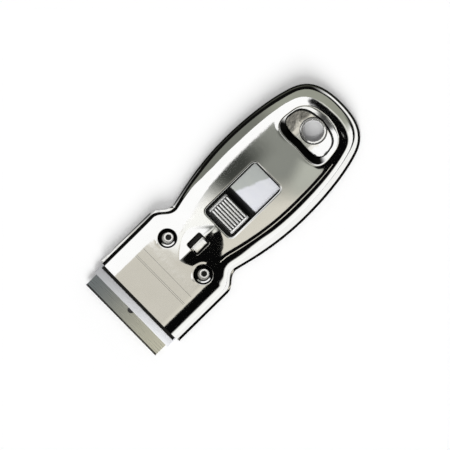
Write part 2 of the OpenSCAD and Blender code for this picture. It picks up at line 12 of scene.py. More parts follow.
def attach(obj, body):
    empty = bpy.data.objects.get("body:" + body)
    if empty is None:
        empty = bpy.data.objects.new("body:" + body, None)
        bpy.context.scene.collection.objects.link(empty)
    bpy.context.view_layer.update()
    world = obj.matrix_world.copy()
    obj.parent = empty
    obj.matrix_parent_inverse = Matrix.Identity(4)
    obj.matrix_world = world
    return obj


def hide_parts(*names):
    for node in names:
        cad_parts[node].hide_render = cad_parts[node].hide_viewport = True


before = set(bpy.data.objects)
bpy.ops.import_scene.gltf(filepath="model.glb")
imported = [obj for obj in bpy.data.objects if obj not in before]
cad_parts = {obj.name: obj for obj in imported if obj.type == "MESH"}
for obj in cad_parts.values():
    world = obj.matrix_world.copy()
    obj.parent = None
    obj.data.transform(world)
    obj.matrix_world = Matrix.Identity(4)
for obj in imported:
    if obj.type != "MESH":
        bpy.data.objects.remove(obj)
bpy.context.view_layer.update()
scene = bpy.context.scene
scene.view_settings.view_transform = "Standard"

# Camera
# It hangs straight above the tool and is turned so that the blade points to the lower
# left. The photograph spans 173.5 mm at the height of the blade.
PHOTO_WIDTH = 0.1735
PHOTO_CENTRE = (0.00204, -0.00545)
PHOTO_TURN = math.radians(45.53)
CAMERA_HEIGHT = 1.1
BLADE_HEIGHT = 0.0026

camera_data = bpy.data.cameras.new("camera")
camera_data.lens = camera_data.sensor_width * CAMERA_HEIGHT / PHOTO_WIDTH
camera = bpy.data.objects.new("camera", camera_data)
camera.location = (*PHOTO_CENTRE, BLADE_HEIGHT + CAMERA_HEIGHT)
camera.rotation_euler = (0, 0, PHOTO_TURN)
scene.collection.objects.link(camera)
scene.camera = camera

# Table
# A white sheet of paper under soft light, which keeps the tool's soft shadow. The metal
# sees it white too, but black at the tool's left and behind it, as if dark cards lay
# there: that gives the chrome its dark lines.
MM = 0.001
TABLE_WHITE = "#E9E9E9"
TABLE_GLOW = 0.2
TABLE_HALF = 3.0
TABLE_Z = -0.1 * MM
# Under the hanging hole the paper has no glow, because the tool shades it
UNDER_HOLE = (0, 44.35 * MM, 0)
SHADE_R = (4.6 * MM, 4.8 * MM)
DARK_LEFT = (-14 * MM, -6 * MM)
DARK_REAR = (66 * MM, 72 * MM)


def linear(text):
    """An sRGB hex colour as linear RGBA."""
    parts = [int(text[i : i + 2], 16) / 255 for i in (1, 3, 5)]
    return (*[c / 12.92 if c <= 0.04045 else ((c + 0.055) / 1.055) ** 2.4 for c in parts], 1)


def add(tree, kind, *values, **named):
    """A new node with its settings and links. values go to its first inputs. A name in small
    letters is a setting, and any other is an input (_ for a space). A node given as a value
    stands for its first output in use, and a text stands for its colour."""
    node = tree.nodes.new(kind if kind.startswith(("Geometry", "Node")) else "ShaderNode" + kind)
    for name in [n for n in named if n.islower()]:
        setattr(node, name, named.pop(name))
    given = list(enumerate(values)) + [(name.replace("_", " "), v) for name, v in named.items()]
    for key, value in given:
        if isinstance(value, bpy.types.Node):
            value = next(output for output in value.outputs if output.enabled)
        if isinstance(value, bpy.types.NodeSocket):
            tree.links.new(value, node.inputs[key])
        else:
            node.inputs[key].default_value = linear(value) if isinstance(value, str) else value
    return node


def new_material(name):
    """A material, the function that adds to its empty tree, and the Object coordinates."""
    material = bpy.data.materials.new(name)
    material.use_nodes = True
    material.node_tree.nodes.clear()
    node = partial(add, material.node_tree)
    return material, node, node("TexCoord").outputs["Object"]


def sheet_material():
    """White paper: a cloudy grain, even and matt, with a glow that only the camera sees."""
    material, node, place = new_material("white paper sheet")
    path = node("LightPath").outputs
    grain = node("TexNoise", Vector=place, Scale=0.4 / MM)
    tint = node("Mix", data_type="RGBA", Factor=grain, A="#E6E6E6", B=TABLE_WHITE)
    away = node("VectorMath", place, UNDER_HOLE, operation="DISTANCE")
    deep = node("MapRange", away, *SHADE_R, 1.0, 0.0)
    shaded = node("Mix", data_type="RGBA", Factor=deep, A=tint, B="#F0F0F0")
    glow = node("MapRange", away, *SHADE_R, 0.0, TABLE_GLOW)
    lift = node("Math", path["Is Camera Ray"], glow, operation="MULTIPLY")
    lit = node("AddShader", node("BsdfDiffuse", shaded), node("Emission", Strength=lift))
    spot = node("SeparateXYZ", place).outputs
    left = node("MapRange", spot["X"], *DARK_LEFT, 1.0, 0.0)
    rear = node("MapRange", spot["Y"], *DARK_REAR)
    dark = node("Math", left, rear, operation="MAXIMUM")
    seen = node("Mix", data_type="RGBA", Factor=dark, A="#F6F6F4", B="#0B0B0A")
    node("OutputMaterial", node("MixShader", path["Is Glossy Ray"], lit, node("Emission", seen)))
    return material


def new_piece(name, mesh, material=None):
    """An object for a finished mesh, at the origin."""
    made = bpy.data.objects.new(name, mesh)
    scene.collection.objects.link(made)
    if material:
        mesh.materials.append(material)
    return made


table_mesh = bpy.data.meshes.new("table")
table_mesh.from_pydata(
    [(x * TABLE_HALF, y * TABLE_HALF, TABLE_Z) for x, y in ((-1, -1), (1, -1), (1, 1), (-1, 1))],
    [], [(0, 1, 2, 3)])
new_piece("table", table_mesh, sheet_material())

# Studio
# The metal mirrors a pale ceiling, a soft box on the tool's left, black screens on its right
# and behind it, bright walls, and small cards that hang or stand close by. Everything else
# gets even light from the world, and one soft lamp throws the shadow.
AMBIENT = "#ADADAD"
LAMP_FROM = (0.714, -0.70, 0.82)
LAMP_STRENGTH = 2.9
LAMP_SPREAD = math.radians(32)
# The room's sides: colours at angles in degrees from straight up, past the horizon at 90
STRAIGHT_UP = "#B0AEA4"
RIGHT_SIDE = [(0, STRAIGHT_UP), (3.5, "#CFCBBF"), (10, "#DCD8CC"), (12, "#070707"),
              (48, "#050505"), (56, "#F6F6F2"), (90, "#FFFFFF")]
LEFT_SIDE = [(0, STRAIGHT_UP), (0.6, "#ECEAE4"), (8, "#F4F2EC"), (9.5, "#FFFFFF"),
             (85, "#FFFFFF"), (92, "#101010")]
REAR_SIDE = [(0, STRAIGHT_UP), (1.3, "#8C8E84"), (9, "#84867C"), (12, "#E4E4DC"),
             (18, "#E4E4DC"), (21, "#060606"), (50, "#060606"), (55, "#DCDCD4"),
             (62, "#B8BAB0"), (84, "#A4A69C"), (89, "#080808")]
FRONT_SIDE = [(0, STRAIGHT_UP), (1.3, "#D2CEC2"), (9, "#D2CEC2"), (15, "#9A9A94"),
              (30, "#6A6A66"), (50, "#2E2E2C"), (58, "#6A6A66"), (68, "#BEBEBA"),
              (85, "#D4D4D0"), (92, "#E8E8E8")]

world = bpy.data.worlds.new("studio")
scene.world = world
world.use_nodes = True
world.node_tree.nodes.clear()
node = partial(add, world.node_tree)
part = node("SeparateXYZ", node("TexCoord").outputs["Generated"]).outputs
from_zenith = node("Math", part["Z"], operation="ARCCOSINE")
angle = node("Math", from_zenith, math.pi, operation="DIVIDE")
sides = []
for stops in (LEFT_SIDE, RIGHT_SIDE, FRONT_SIDE, REAR_SIDE):
    side = node("ValToRGB", angle)
    marks = side.color_ramp.elements
    while len(marks) < len(stops):
        marks.new(0.5)
    for mark, (degrees, colour) in zip(marks, stops):
        mark.position = degrees / 180
        mark.color = linear(colour)
    sides.append(side)
x2 = node("Math", part["X"], part["X"], operation="MULTIPLY")
y2 = node("Math", part["Y"], part["Y"], operation="MULTIPLY")
share_x = node("Math", x2, node("Math", x2, y2, operation="ADD"), operation="DIVIDE")
sideways = node("MapRange", share_x, 0.01, 0.14, interpolation_type="SMOOTHSTEP")
to_right = node("Math", part["X"], 0.0, operation="GREATER_THAN")
to_rear = node("Math", part["Y"], 0.0, operation="GREATER_THAN")
beside = node("Mix", data_type="RGBA", Factor=to_right, A=sides[0], B=sides[1])
ahead = node("Mix", data_type="RGBA", Factor=to_rear, A=sides[2], B=sides[3])
room = node("Mix", data_type="RGBA", Factor=sideways, A=ahead, B=beside)
path = node("LightPath").outputs
even = node("Mix", data_type="RGBA", Factor=path["Is Diffuse Ray"], A=room, B=AMBIENT)
shown = node("Mix", data_type="RGBA", Factor=path["Is Camera Ray"], A=even, B=(1, 1, 1, 1))
node("OutputWorld", node("Background", shown, 1.0))

lamp_data = bpy.data.lights.new("soft lamp", "SUN")
lamp_data.energy = LAMP_STRENGTH
lamp_data.angle = LAMP_SPREAD
lamp = bpy.data.objects.new("soft lamp", lamp_data)
lamp.rotation_euler = Vector(LAMP_FROM).to_track_quat("Z", "Y").to_euler()
lamp.visible_glossy = False
scene.collection.objects.link(lamp)


def card(name, corners, colour, fades):
    """A card, or a row of them, that only the metal sees. Each fade is a soft step along a
    direction in plan, from where the card is clear to where it is full."""
    mesh = bpy.data.meshes.new(name)
    mesh.from_pydata([(x * MM, y * MM, z * MM) for x, y, z in corners], [],
                     [(k, k + 1, k + 3, k + 2) for k in range(0, len(corners) - 2, 2)])
    material, node, place = new_material(name)
    cloud = node("TexNoise", Vector=place, Scale=0.06 / MM)
    tone = node("MapRange", cloud, To_Min=0.94, To_Max=1.06)
    share = 1.0
    for direction, start, end in fades:
        along = node("VectorMath", place, (*direction, 0), operation="DOT_PRODUCT")
        fade = node("MapRange", along, min(start, end) * MM, max(start, end) * MM,
                    float(start > end), float(start < end), interpolation_type="SMOOTHSTEP")
        share = node("Math", fade, share, operation="MULTIPLY")
    face = node("Emission", colour, tone)
    mixed = node("MixShader", share, node("BsdfTransparent"), face)
    node("OutputMaterial", mixed)
    piece = new_piece(name, mesh, material)
    piece.visible_camera = piece.visible_diffuse = False
    piece.visible_shadow = piece.visible_transmission = False


# Cards that hang over the tool: their sides, height, colour and fades
ACROSS, ALONG = (1, 0), (0, 1)
for name, (left, right, front, rear, height), colour, fades in (
        ("grey card overhead", (-21, 24, -20, 50, 52), "#868881",
         ((ACROSS, -20.5, -19.5), (ACROSS, 23, 19), ((-0.75, 1), 0, 22), (ALONG, 41, 36))),
        ("dark card overhead", (-21, 0, -20, 40, 50), "#3C3E3A",
         ((ACROSS, -20.5, -19.5), (ACROSS, -3, -14), (ALONG, -6, 10), (ALONG, 34, 16))),
        ("white card overhead", (-17, 0, -32, -3, 48), "#FAFAF6",
         ((ACROSS, -17, -13), (ACROSS, 0, -3), (ALONG, -32, -26), (ALONG, -3, -11))),
        ("pale card overhead", (-21, 24, -20, 50, 51.5), "#B2B4AA",
         ((ACROSS, 23, 19), ((1, 0.5), 19, 30), (ALONG, 18, 28), (ALONG, 41, 36))),
        ("beige card overhead", (-44, 18, -60, -28, 150), "#CAC6BB",
         ((ACROSS, -43, -39), (ACROSS, 18, 16.5), (ALONG, -30.5, -38.5)))):
    corners = [(x, y, height) for y in (front, rear) for x in (left, right)]
    card(name, corners, colour, fades)
# Cards that stand beside it: where each corner stands, and the heights of its two ends
for name, places, colour, fade in (
        ("grey card at the left",
         ((-29, -12, 2, 3), (-29, 6, 2, 14), (-29, 22, 2, 17), (-29, 46, 2, 17)),
         "#74766E", (ALONG, 46, 30)),
        ("olive cards at the left and rear",
         ((-30, 22, 2, 17), (-30, 48, 2, 18), (-14, 67, 4, 20), (-4, 71, 4, 18), (16, 73, 4, 18)),
         "#94968A", (ACROSS, 15, 3))):
    card(name, [(x, y, z) for x, y, *ends in places for z in ends], colour, [fade])

# Drawn shell
# The top of the tool: one sheet of steel, drawn over a punch and chrome plated. It has a
# rounded edge, a crowned handle, an arch over the waist, two dimples for the rivets, the
# thumb window and a deep well round the hanging hole. Its sizes are in mm from the mouth.
REACH = 10.4
SHELL_LEN = 109.3
FRONT_W = 43.2
WAIST_W = 34.8
BELLY_W = 44.2
CORNER_W = 36.4
PANEL_LEN = 18.6
SHOULDER_AT = 26.1
WAIST_AT = 34.6
BELLY_AT = 67.6
CORNER_AT = 98.6
CORNER_SLOPE = 0.32
LIP = 0.9
SHEET = 0.6
WALL_TOP = 2.6
WALL_STEPS = (1.8, 1.0)
SHELL_H = 9.0
MOUTH_Y = REACH - (REACH + SHELL_LEN) / 2
# Widths of the rounded edge where the runs of the outline meet, and how square it is up to
# the waist and on the handle, with the run between them
EDGE_WIDTHS = [9.6, 9.6, 9.6, 5.6, 5.7, 4.9, 8.0]
EDGE_POWERS = (2.5, 1.8)
POWER_RUN = (34.6, 52.6)
# The handle's top is a plateau with a crown, and it is flatter at the waist
PLATEAU_H = 0.1
PLATEAU_W = 1.2
CROWN_H = 0.6
CROWN_REACH = 14.5
WAIST_FROM = (24, 30)
WAIST_TO = (56, 44)
WAIST_PLATEAU = 0.8
WAIST_SLOPE = 0.16
WAIST_EDGE = 0.3
# The arch over the waist: a long hump with a sharp crest that bends to the right behind
# the tang. It reaches further down on the right
ARCH_H = 1.5
ARCH_AT = 31.7
ARCH_L = 19.0
ARCH_LEFT = 6.4
ARCH_RIGHT = 10.4
ARCH_TIP = 0.3
ARCH_CREST = 0.07
ARCH_FALL = 1.6
CREST_X = -0.4
CREST_BEND = 1.8
CREST_BEND_AT = (35.5, 40.5)
# Rivet dimples, with a sloping floor, a steep wall and a raised rim on their left
RIVET_AT = 25.2
RIVET_X = 9.8
RIVET_HOLE_R = 1.55
DIMPLE_AT = 24.7
DIMPLE_FLOOR = 6.2
DIMPLE_CONE = 0.32
DIMPLE_CONE_R = (2.6, 3.2)
DIMPLE_R = 3.2
DIMPLE_WALL = 0.65
DIMPLE_RIM = 0.13
DIMPLE_RIM_R = (5.1, 3.8)
# Openings for the thumb and the tang: middle, length, width and corner radius, and each
# rolled rim's width, drop and the share of it that is there
WINDOW_AT = 41.8
WINDOW_L = 27.6
WINDOW = (WINDOW_AT + WINDOW_L / 2, WINDOW_L, 14.9, 2.0)
WINDOW_ROLL = (0.9, 0.45, 0.995)
TANG_AT = 31.6
SLOT = (TANG_AT, 6.6, 5.6, 0.6)
SLOT_ROLL = (0.4, 0.3, 1)
# The well: its floor lies a little to the left and turns up at its sides, and its mouth
# has a raised rim. Each has a middle, and a length and a width
HANG_AT = 93.8
WELL_BORE_R = 4.7
FLOOR_H = 1.6
FLOOR_MID = (-0.5, 93.1)
FLOOR_SIZE = (11.0, 19.4)
FLOOR_FLAT = 4.4
FLOOR_DISH = 0.104
FLOOR_WALL = 0.45
MOUTH_MID = (0, 92.6)
MOUTH_SIZE = (16.9, 22.6)
WELL_SLOPE = 0.7
WELL_RIM = 0.18
WELL_RIM_W = 1.6


def bezier(points, t):
    a, b, c, d = [np.array(p, float) for p in points]
    return a * (1 - t) ** 3 + 3 * b * (1 - t) ** 2 * t + 3 * c * (1 - t) * t * t + d * t ** 3


def outline(spacing):
    """The wall's line, from the mouth round and back: (x, y, edge width) at each point."""
    front = FRONT_W / 2 - LIP
    waist = (WAIST_W / 2 - LIP, WAIST_AT)
    belly = (BELLY_W / 2 - LIP, BELLY_AT)
    corner = (CORNER_W / 2 - LIP, CORNER_AT - LIP * CORNER_SLOPE)
    tip = (0, SHELL_LEN - LIP)
    to_waist = WAIST_AT - SHOULDER_AT
    to_belly = BELLY_AT - WAIST_AT
    to_corner = corner[1] - BELLY_AT
    to_tip = tip[1] - corner[1]
    # Each run is a curve between two of its four points, and the others give its direction
    runs = [
        [(front, 0), (front, PANEL_LEN / 3), (front, PANEL_LEN * 2 / 3), (front, PANEL_LEN)],
        [(front, PANEL_LEN), (front, PANEL_LEN + 2.5), (front, SHOULDER_AT - 2.5),
         (front, SHOULDER_AT)],
        [(front, SHOULDER_AT), (front, SHOULDER_AT + to_waist * 0.44),
         (waist[0], WAIST_AT - to_waist * 0.45), waist],
        [waist, (waist[0], WAIST_AT + to_belly * 0.045),
         (belly[0], BELLY_AT - to_belly * 0.545), belly],
        [belly, (belly[0], BELLY_AT + to_corner * 0.33),
         (corner[0] + to_corner * 0.29 * CORNER_SLOPE, corner[1] - to_corner * 0.29), corner],
        [corner, (corner[0] - to_tip * 0.6 * CORNER_SLOPE, corner[1] + to_tip * 0.6),
         (corner[0] * 0.66, tip[1]), tip],
    ]
    half = []
    for number, run in enumerate(runs):
        count = max(4, round(math.dist(run[0], run[3]) * 1.1 / spacing))
        for k in range(count + (number == len(runs) - 1)):
            blend = step(k / count, 0, 1)
            width = EDGE_WIDTHS[number] * (1 - blend) + EDGE_WIDTHS[number + 1] * blend
            half.append((*bezier(run, k / count), width))
    return np.array(half + [(-x, y, w) for x, y, w in reversed(half[:-1])])


def step(t, start, end):
    """0 where t is at the start or before, 1 at the end or after, and smooth between."""
    t = np.clip((t - start) / (end - start), 0, 1)
    return t * t * (3 - 2 * t)


def ramp(t, soft):
    """From 0 to 1 at an even slope, with a soft start and end."""
    t = np.clip(t, 0, 1)
    top = 1 / (1 - soft)
    low = top * t * t / (2 * soft)
    high = 1 - top * (1 - t) ** 2 / (2 * soft)
    return np.where(t < soft, low, np.where(t > 1 - soft, high, top * (t - soft / 2)))


def above(t, soft=0.15):
    """How far t lies above 0, with a soft start."""
    return soft * np.logaddexp(0, t / soft)


WALL_LINE = outline(0.25)
SIDE_COUNT = int(np.argmax(WALL_LINE[:, 1] > BELLY_AT)) + 1
wall_tree = kdtree.KDTree(len(WALL_LINE))
for number, (x, y, _) in enumerate(WALL_LINE):
    wall_tree.insert((x, y, 0), number)
wall_tree.balance()


def inside_wall(points):
    """Distance inside the wall, and the edge width there, for each point."""
    found = np.empty((len(points), 2))
    last = len(WALL_LINE) - 1
    for k, (x, y) in enumerate(points):
        _, near, _ = wall_tree.find((x, y, 0))
        a, b = WALL_LINE[max(near - 1, 0)], WALL_LINE[min(near + 1, last)]
        run = b[:2] - a[:2]
        normal = np.array([-run[1], run[0]]) / np.linalg.norm(run)
        found[k] = (np.array([x, y]) - WALL_LINE[near][:2]) @ normal, WALL_LINE[near][2]
    y = points[:, 1]
    along_side = np.interp(y, WALL_LINE[:SIDE_COUNT, 1], WALL_LINE[:SIDE_COUNT, 2])
    return found[:, 0], np.where(y < BELLY_AT, along_side, found[:, 1])


def box_distance(points, box):
    """Distance outside a rectangle with round corners."""
    middle, length, width, radius = box
    q = np.abs(points - np.array([0, middle])) - np.array([width / 2, length / 2]) + radius
    outside = np.linalg.norm(np.maximum(q, 0), axis=1)
    return outside + np.minimum(np.max(q, axis=1), 0) - radius


def well_reach(angle, length, width):
    """How far the well's outline lies from its middle in a direction."""
    power = np.where(np.sin(angle) < 0, 4.0, 2.6)
    c, s = np.abs(np.cos(angle)) * 2 / width, np.abs(np.sin(angle)) * 2 / length
    reach = (c ** power + s ** power) ** (-1 / power)
    taper = 1 - 0.1 * np.sin(angle) * reach * 2 / length
    return reach * (1 - (1 - taper) * np.abs(np.cos(angle)))


def well_walls(points):
    """Distances outside the well's floor and inside its mouth."""
    found = []
    for middle, size in ((FLOOR_MID, FLOOR_SIZE), (MOUTH_MID, MOUTH_SIZE)):
        away = points - np.array(middle)
        reach = well_reach(np.arctan2(away[:, 1], away[:, 0]), *size)
        found.append(np.linalg.norm(away, axis=1) - reach)
    return found[0], -found[1]


def from_dimple(points, side):
    """The way from a dimple's middle to each point, and its length."""
    away = points - np.array([side * RIVET_X, DIMPLE_AT])
    return away, np.linalg.norm(away, axis=1)


def arch_share(x, y):
    """Share of the arch's height over points in plan."""
    along = np.clip(1 - ((y - ARCH_AT) / (ARCH_L / 2)) ** 2, 0, 1)
    off = x - CREST_X - CREST_BEND * step(y, *CREST_BEND_AT) * step(x, 0, 2)
    right = off / (ARCH_RIGHT * along ** 0.65 + ARCH_TIP)
    out = np.clip(np.where(off > 0, right, -off / (ARCH_LEFT * along + ARCH_TIP)), 0, 1)
    slope = np.hypot(out, ARCH_CREST) - ARCH_CREST
    return along * (1 - slope / (math.hypot(1, ARCH_CREST) - ARCH_CREST)) ** ARCH_FALL


def rolled(t, width, drop, most):
    """How far a rolled rim has dropped at a distance t from its hole."""
    return drop * (1 - np.sqrt(1 - np.clip(1 - t / width, 0, most) ** 2))


def shell_height(points):
    """Height of the shell's outer face over points in plan."""
    x, y = points[:, 0], points[:, 1]
    d, edge = inside_wall(points)
    out = np.clip(1 - d / edge, 0, 1)
    round_share = step(y, *POWER_RUN)
    power = EDGE_POWERS[0] * (1 - round_share) + EDGE_POWERS[1] * round_share
    z = WALL_TOP + (SHELL_H - WALL_TOP) * (1 - out ** power) ** (1 / power)
    handle = step(y, PANEL_LEN, WAIST_AT)
    waist = step(y, *WAIST_FROM) * step(y, *WAIST_TO)
    rise = np.clip((d - edge) / CROWN_REACH, -1, 1)
    fall = 2 * rise * (1 - out ** 2) * step(x, 4, -4)
    dome = np.where(rise > 0, 1 - (1 - rise) ** 2, fall)
    plateau = (1 + WAIST_PLATEAU * waist) * (step(d - edge, 0, PLATEAU_W) - 1)
    z -= waist * WAIST_SLOPE * (1 - out ** 2) * above(edge - WAIST_EDGE - d)
    arch = arch_share(x, y)
    z += handle * (CROWN_H * dome + PLATEAU_H * plateau) * (1 - arch) + ARCH_H * arch
    for side in (-1, 1):
        away, r = from_dimple(points, side)
        z += DIMPLE_RIM * step(away[:, 0] / r, 0.3, -0.4) * step(r, *DIMPLE_RIM_R)
        bed = DIMPLE_FLOOR + DIMPLE_CONE * np.interp(r, DIMPLE_CONE_R, (0, 1))
        z = bed + (z - bed) * ramp((r - DIMPLE_R) / DIMPLE_WALL, 0.3)
    floor, mouth = well_walls(points)
    z += WELL_RIM * step(mouth, -WELL_RIM_W, 0) - WELL_SLOPE * above(mouth)
    bed = FLOOR_H + FLOOR_DISH * above(np.abs(x) - FLOOR_FLAT, 0.4)
    z = bed + (z - bed) * step(floor, 0, FLOOR_WALL)
    z -= rolled(box_distance(points, WINDOW), *WINDOW_ROLL)
    return z - rolled(box_distance(points, SLOT), *SLOT_ROLL)


def band(t, low, high, soft):
    """1 between low and high, and 0 outside, with soft ends."""
    half = soft / 2
    return step(t, low - half, low + half) * step(t, high + half, high - half)


def painted_recess_shade(points):
    """Share of painted shade at each point: near black in the recesses and round the openings."""
    floor, mouth = well_walls(points)
    turn = np.arctan2(points[:, 1] - FLOOR_MID[1], points[:, 0])
    front = step(-np.sin(turn), 0.3, 0.5)
    rear = step(np.sin(turn + 0.15), 0.8, 0.95)
    shares = [
        # Painted shade on the line round the well's floor, its front wall, and a part of its rear
        # wall
        band(floor, 0.0, 0.5, 0.1),
        front * band(floor, 0.1, 9, 0.1) * step(mouth, 0.1, 0.3),
        0.8 * rear * band(floor, 0.3, 2.1, 0.5),
        # Painted shade on the rims of both openings
        band(box_distance(points, WINDOW), -1, 0.12, 0.1),
        band(box_distance(points, SLOT), -1, 0.3, 0.1)]
    for side in (-1, 1):
        # Painted shade on the dimple's wall, left off a bright line on its front right
        away, r = from_dimple(points, side)
        towards = (away @ np.array([0.8, -0.6])) / r
        lit = band(r, 2.6, 3.15, 0.1) * step(towards, 0.5, 0.7)
        shares.append(band(r, 2.0, 3.8, 0.2) * (1 - lit))
    return np.max(shares, axis=0)


def ring_of(count, x, y, radius):
    turns = [2 * math.pi * k / count for k in range(count)]
    return [(x + radius * math.cos(a), y + radius * math.sin(a)) for a in turns]


def box_ring(box, grow, spacing):
    """Points round a rectangle with round corners, at a distance outside it."""
    middle, length, width, radius = box
    half_w, half_l = width / 2 - radius, length / 2 - radius
    radius += grow
    turns = max(3, round(radius * math.pi / 2 / spacing))
    arcs = []
    for quarter, (sx, sy) in enumerate(((1, 1), (-1, 1), (-1, -1), (1, -1))):
        angles = [(quarter + k / turns) * math.pi / 2 for k in range(turns + 1)]
        arcs.append([(sx * half_w + radius * math.cos(a),
                      middle + sy * half_l + radius * math.sin(a)) for a in angles])
    made = []
    for arc, following in zip(arcs, arcs[1:] + arcs[:1]):
        (x0, y0), (x1, y1) = arc[-1], following[0]
        count = max(1, round(math.dist(arc[-1], following[0]) / spacing))
        made += arc + [(x0 + (x1 - x0) * k / count, y0 + (y1 - y0) * k / count)
                       for k in range(1, count)]
    return made


# Where rings of points follow the features, as distances from each
HOLE_RINGS = (0.04, 0.1, 0.18, 0.27, 0.37, 0.5, 0.65, 0.8, 0.9, 1.02)
DIMPLE_RINGS = (2.3, 2.5, 2.6, 2.7, 2.85, 3.0, 3.1, 3.2, 3.3, 3.4, 3.5, 3.6, 3.7, 3.8, 3.95,
                4.2, 4.5, 4.8, 5.1)
FLOOR_RINGS = (-3.4, -2.8, -2.2, -1.7, -1.2, -0.8, -0.4, -0.15, 0, 0.09, 0.18, 0.27, 0.36,
               0.45, 0.55)
MOUTH_RINGS = (-2.6, -2.2, -1.8, -1.4, -1, -0.6, -0.45, -0.3, -0.15, 0, 0.15, 0.3, 0.45, 0.6,
               0.9, 1.2, 1.7, 2.2, 2.7)
EDGE_SHARES = (0.03, 0.07, 0.12, 0.18, 0.25, 0.33, 0.41, 0.5, 0.58, 0.66, 0.74, 0.82, 0.88,
               0.93, 0.965, 0.985, 1)
PLATEAU_RINGS = (0.1, 0.2, 0.35, 0.5, 0.65, 0.8, 0.95, 1.1, 1.3, 1.9)


def shell_plan():
    """Points of the shell in plan, and the edges that bound it and its holes."""
    wall = outline(0.7)
    line = wall[:, :2]
    loops = [[tuple(p) for p in line]]
    loops += [ring_of(36, side * RIVET_X, RIVET_AT, RIVET_HOLE_R) for side in (-1, 1)]
    loops += [ring_of(60, 0, HANG_AT, WELL_BORE_R), box_ring(WINDOW, 0, 0.5),
              box_ring(SLOT, 0, 0.4)]
    points, edges = [], []
    for loop in loops:
        start, end = len(points), len(points) + len(loop)
        edges += [(k, k + 1 if k + 1 < end else start) for k in range(start, end)]
        points += loop

    # Rings round the features, then along the wall, then a coarse grid, and a fine one
    # under the arch
    rings = []
    for side in (-1, 1):
        for r in DIMPLE_RINGS:
            rings += ring_of(48, side * RIVET_X, DIMPLE_AT, r)
    for grow in HOLE_RINGS:
        rings += box_ring(WINDOW, grow, 0.5)
        if grow < 0.6:
            rings += box_ring(SLOT, grow, 0.4)
    turns = np.linspace(0, 2 * math.pi, 130, endpoint=False)
    facing = np.stack([np.cos(turns), np.sin(turns)], axis=1)
    for middle, size, steps in ((FLOOR_MID, FLOOR_SIZE, FLOOR_RINGS),
                                (MOUTH_MID, MOUTH_SIZE, MOUTH_RINGS)):
        for grow in steps:
            ring = np.array(middle) + facing * (well_reach(turns, *size) + grow)[:, None]
            if size == MOUTH_SIZE:
                ring = ring[well_walls(ring)[0] > 0.62]
            rings += [tuple(p) for p in ring]
    owned = len(rings)
    run = np.gradient(line, axis=0)
    normal = np.stack([-run[:, 1], run[:, 0]], axis=1)
    normal /= np.linalg.norm(normal, axis=1)[:, None]
    inward = [wall[:, 2:] * share for share in EDGE_SHARES]
    inward += [wall[:, 2:] + further for further in PLATEAU_RINGS]
    for distance in inward:
        rings += [tuple(p) for p in line + normal * distance]
    edged = len(rings)
    rings += [(x, y) for x in np.arange(-20, 20.1, 0.8) for y in np.arange(0, SHELL_LEN, 0.8)]
    gridded = len(rings)
    arch_front = TANG_AT - ARCH_L / 2 - 1
    rings += [(x + 0.1, y + 0.1) for x in np.arange(-9.6, 9.61, 0.4)
              for y in np.arange(arch_front, WINDOW_AT, 0.4)]
    rings = np.array(rings)

    # A point goes where a feature with a better claim lies
    x, y = rings[:, 0], rings[:, 1]
    order = np.arange(len(rings))
    first = order < owned
    d, edge = inside_wall(rings)
    keep = (d > 0.02) & (y > -0.001)
    for side in (-1, 1):
        keep &= np.hypot(x - side * RIVET_X, y - RIVET_AT) > RIVET_HOLE_R + 0.15
        keep &= first | (from_dimple(rings, side)[1] > 5.3)
    for box, clear in ((WINDOW, 1.1), (SLOT, 0.8)):
        rim = box_distance(rings, box)
        keep &= (rim > 0.02) & (first | (rim > clear))
    keep &= first | (well_walls(rings)[1] < -2.8)
    keep &= np.hypot(x, y - HANG_AT) > WELL_BORE_R + 0.2
    keep &= (order < edged) | (d > edge + 2.3)
    in_arch = (np.abs(x) < 9.7) & (y > arch_front - 0.2) & (y < WINDOW_AT)
    keep &= ~((order >= edged) & (order < gridded) & in_arch)
    return points + [tuple(p) for p in rings[keep]], edges


def face_up(work, mesh):
    """Writes a sheet back to its mesh, with its outer face up."""
    bmesh.ops.recalc_face_normals(work, faces=work.faces)
    if sum(f.normal.z * f.calc_area() for f in work.faces) < 0:
        bmesh.ops.reverse_faces(work, faces=work.faces)
    work.to_mesh(mesh)
    work.free()
    return mesh


def pulled_down(work, rim, height):
    """A wall from a sheet's rim down to a height, and its lower rim."""
    made = bmesh.ops.extrude_edge_only(work, edges=rim)["geom"]
    for vert in [g for g in made if isinstance(g, bmesh.types.BMVert)]:
        vert.co.z = height * MM
    return [g for g in made if isinstance(g, bmesh.types.BMEdge)]


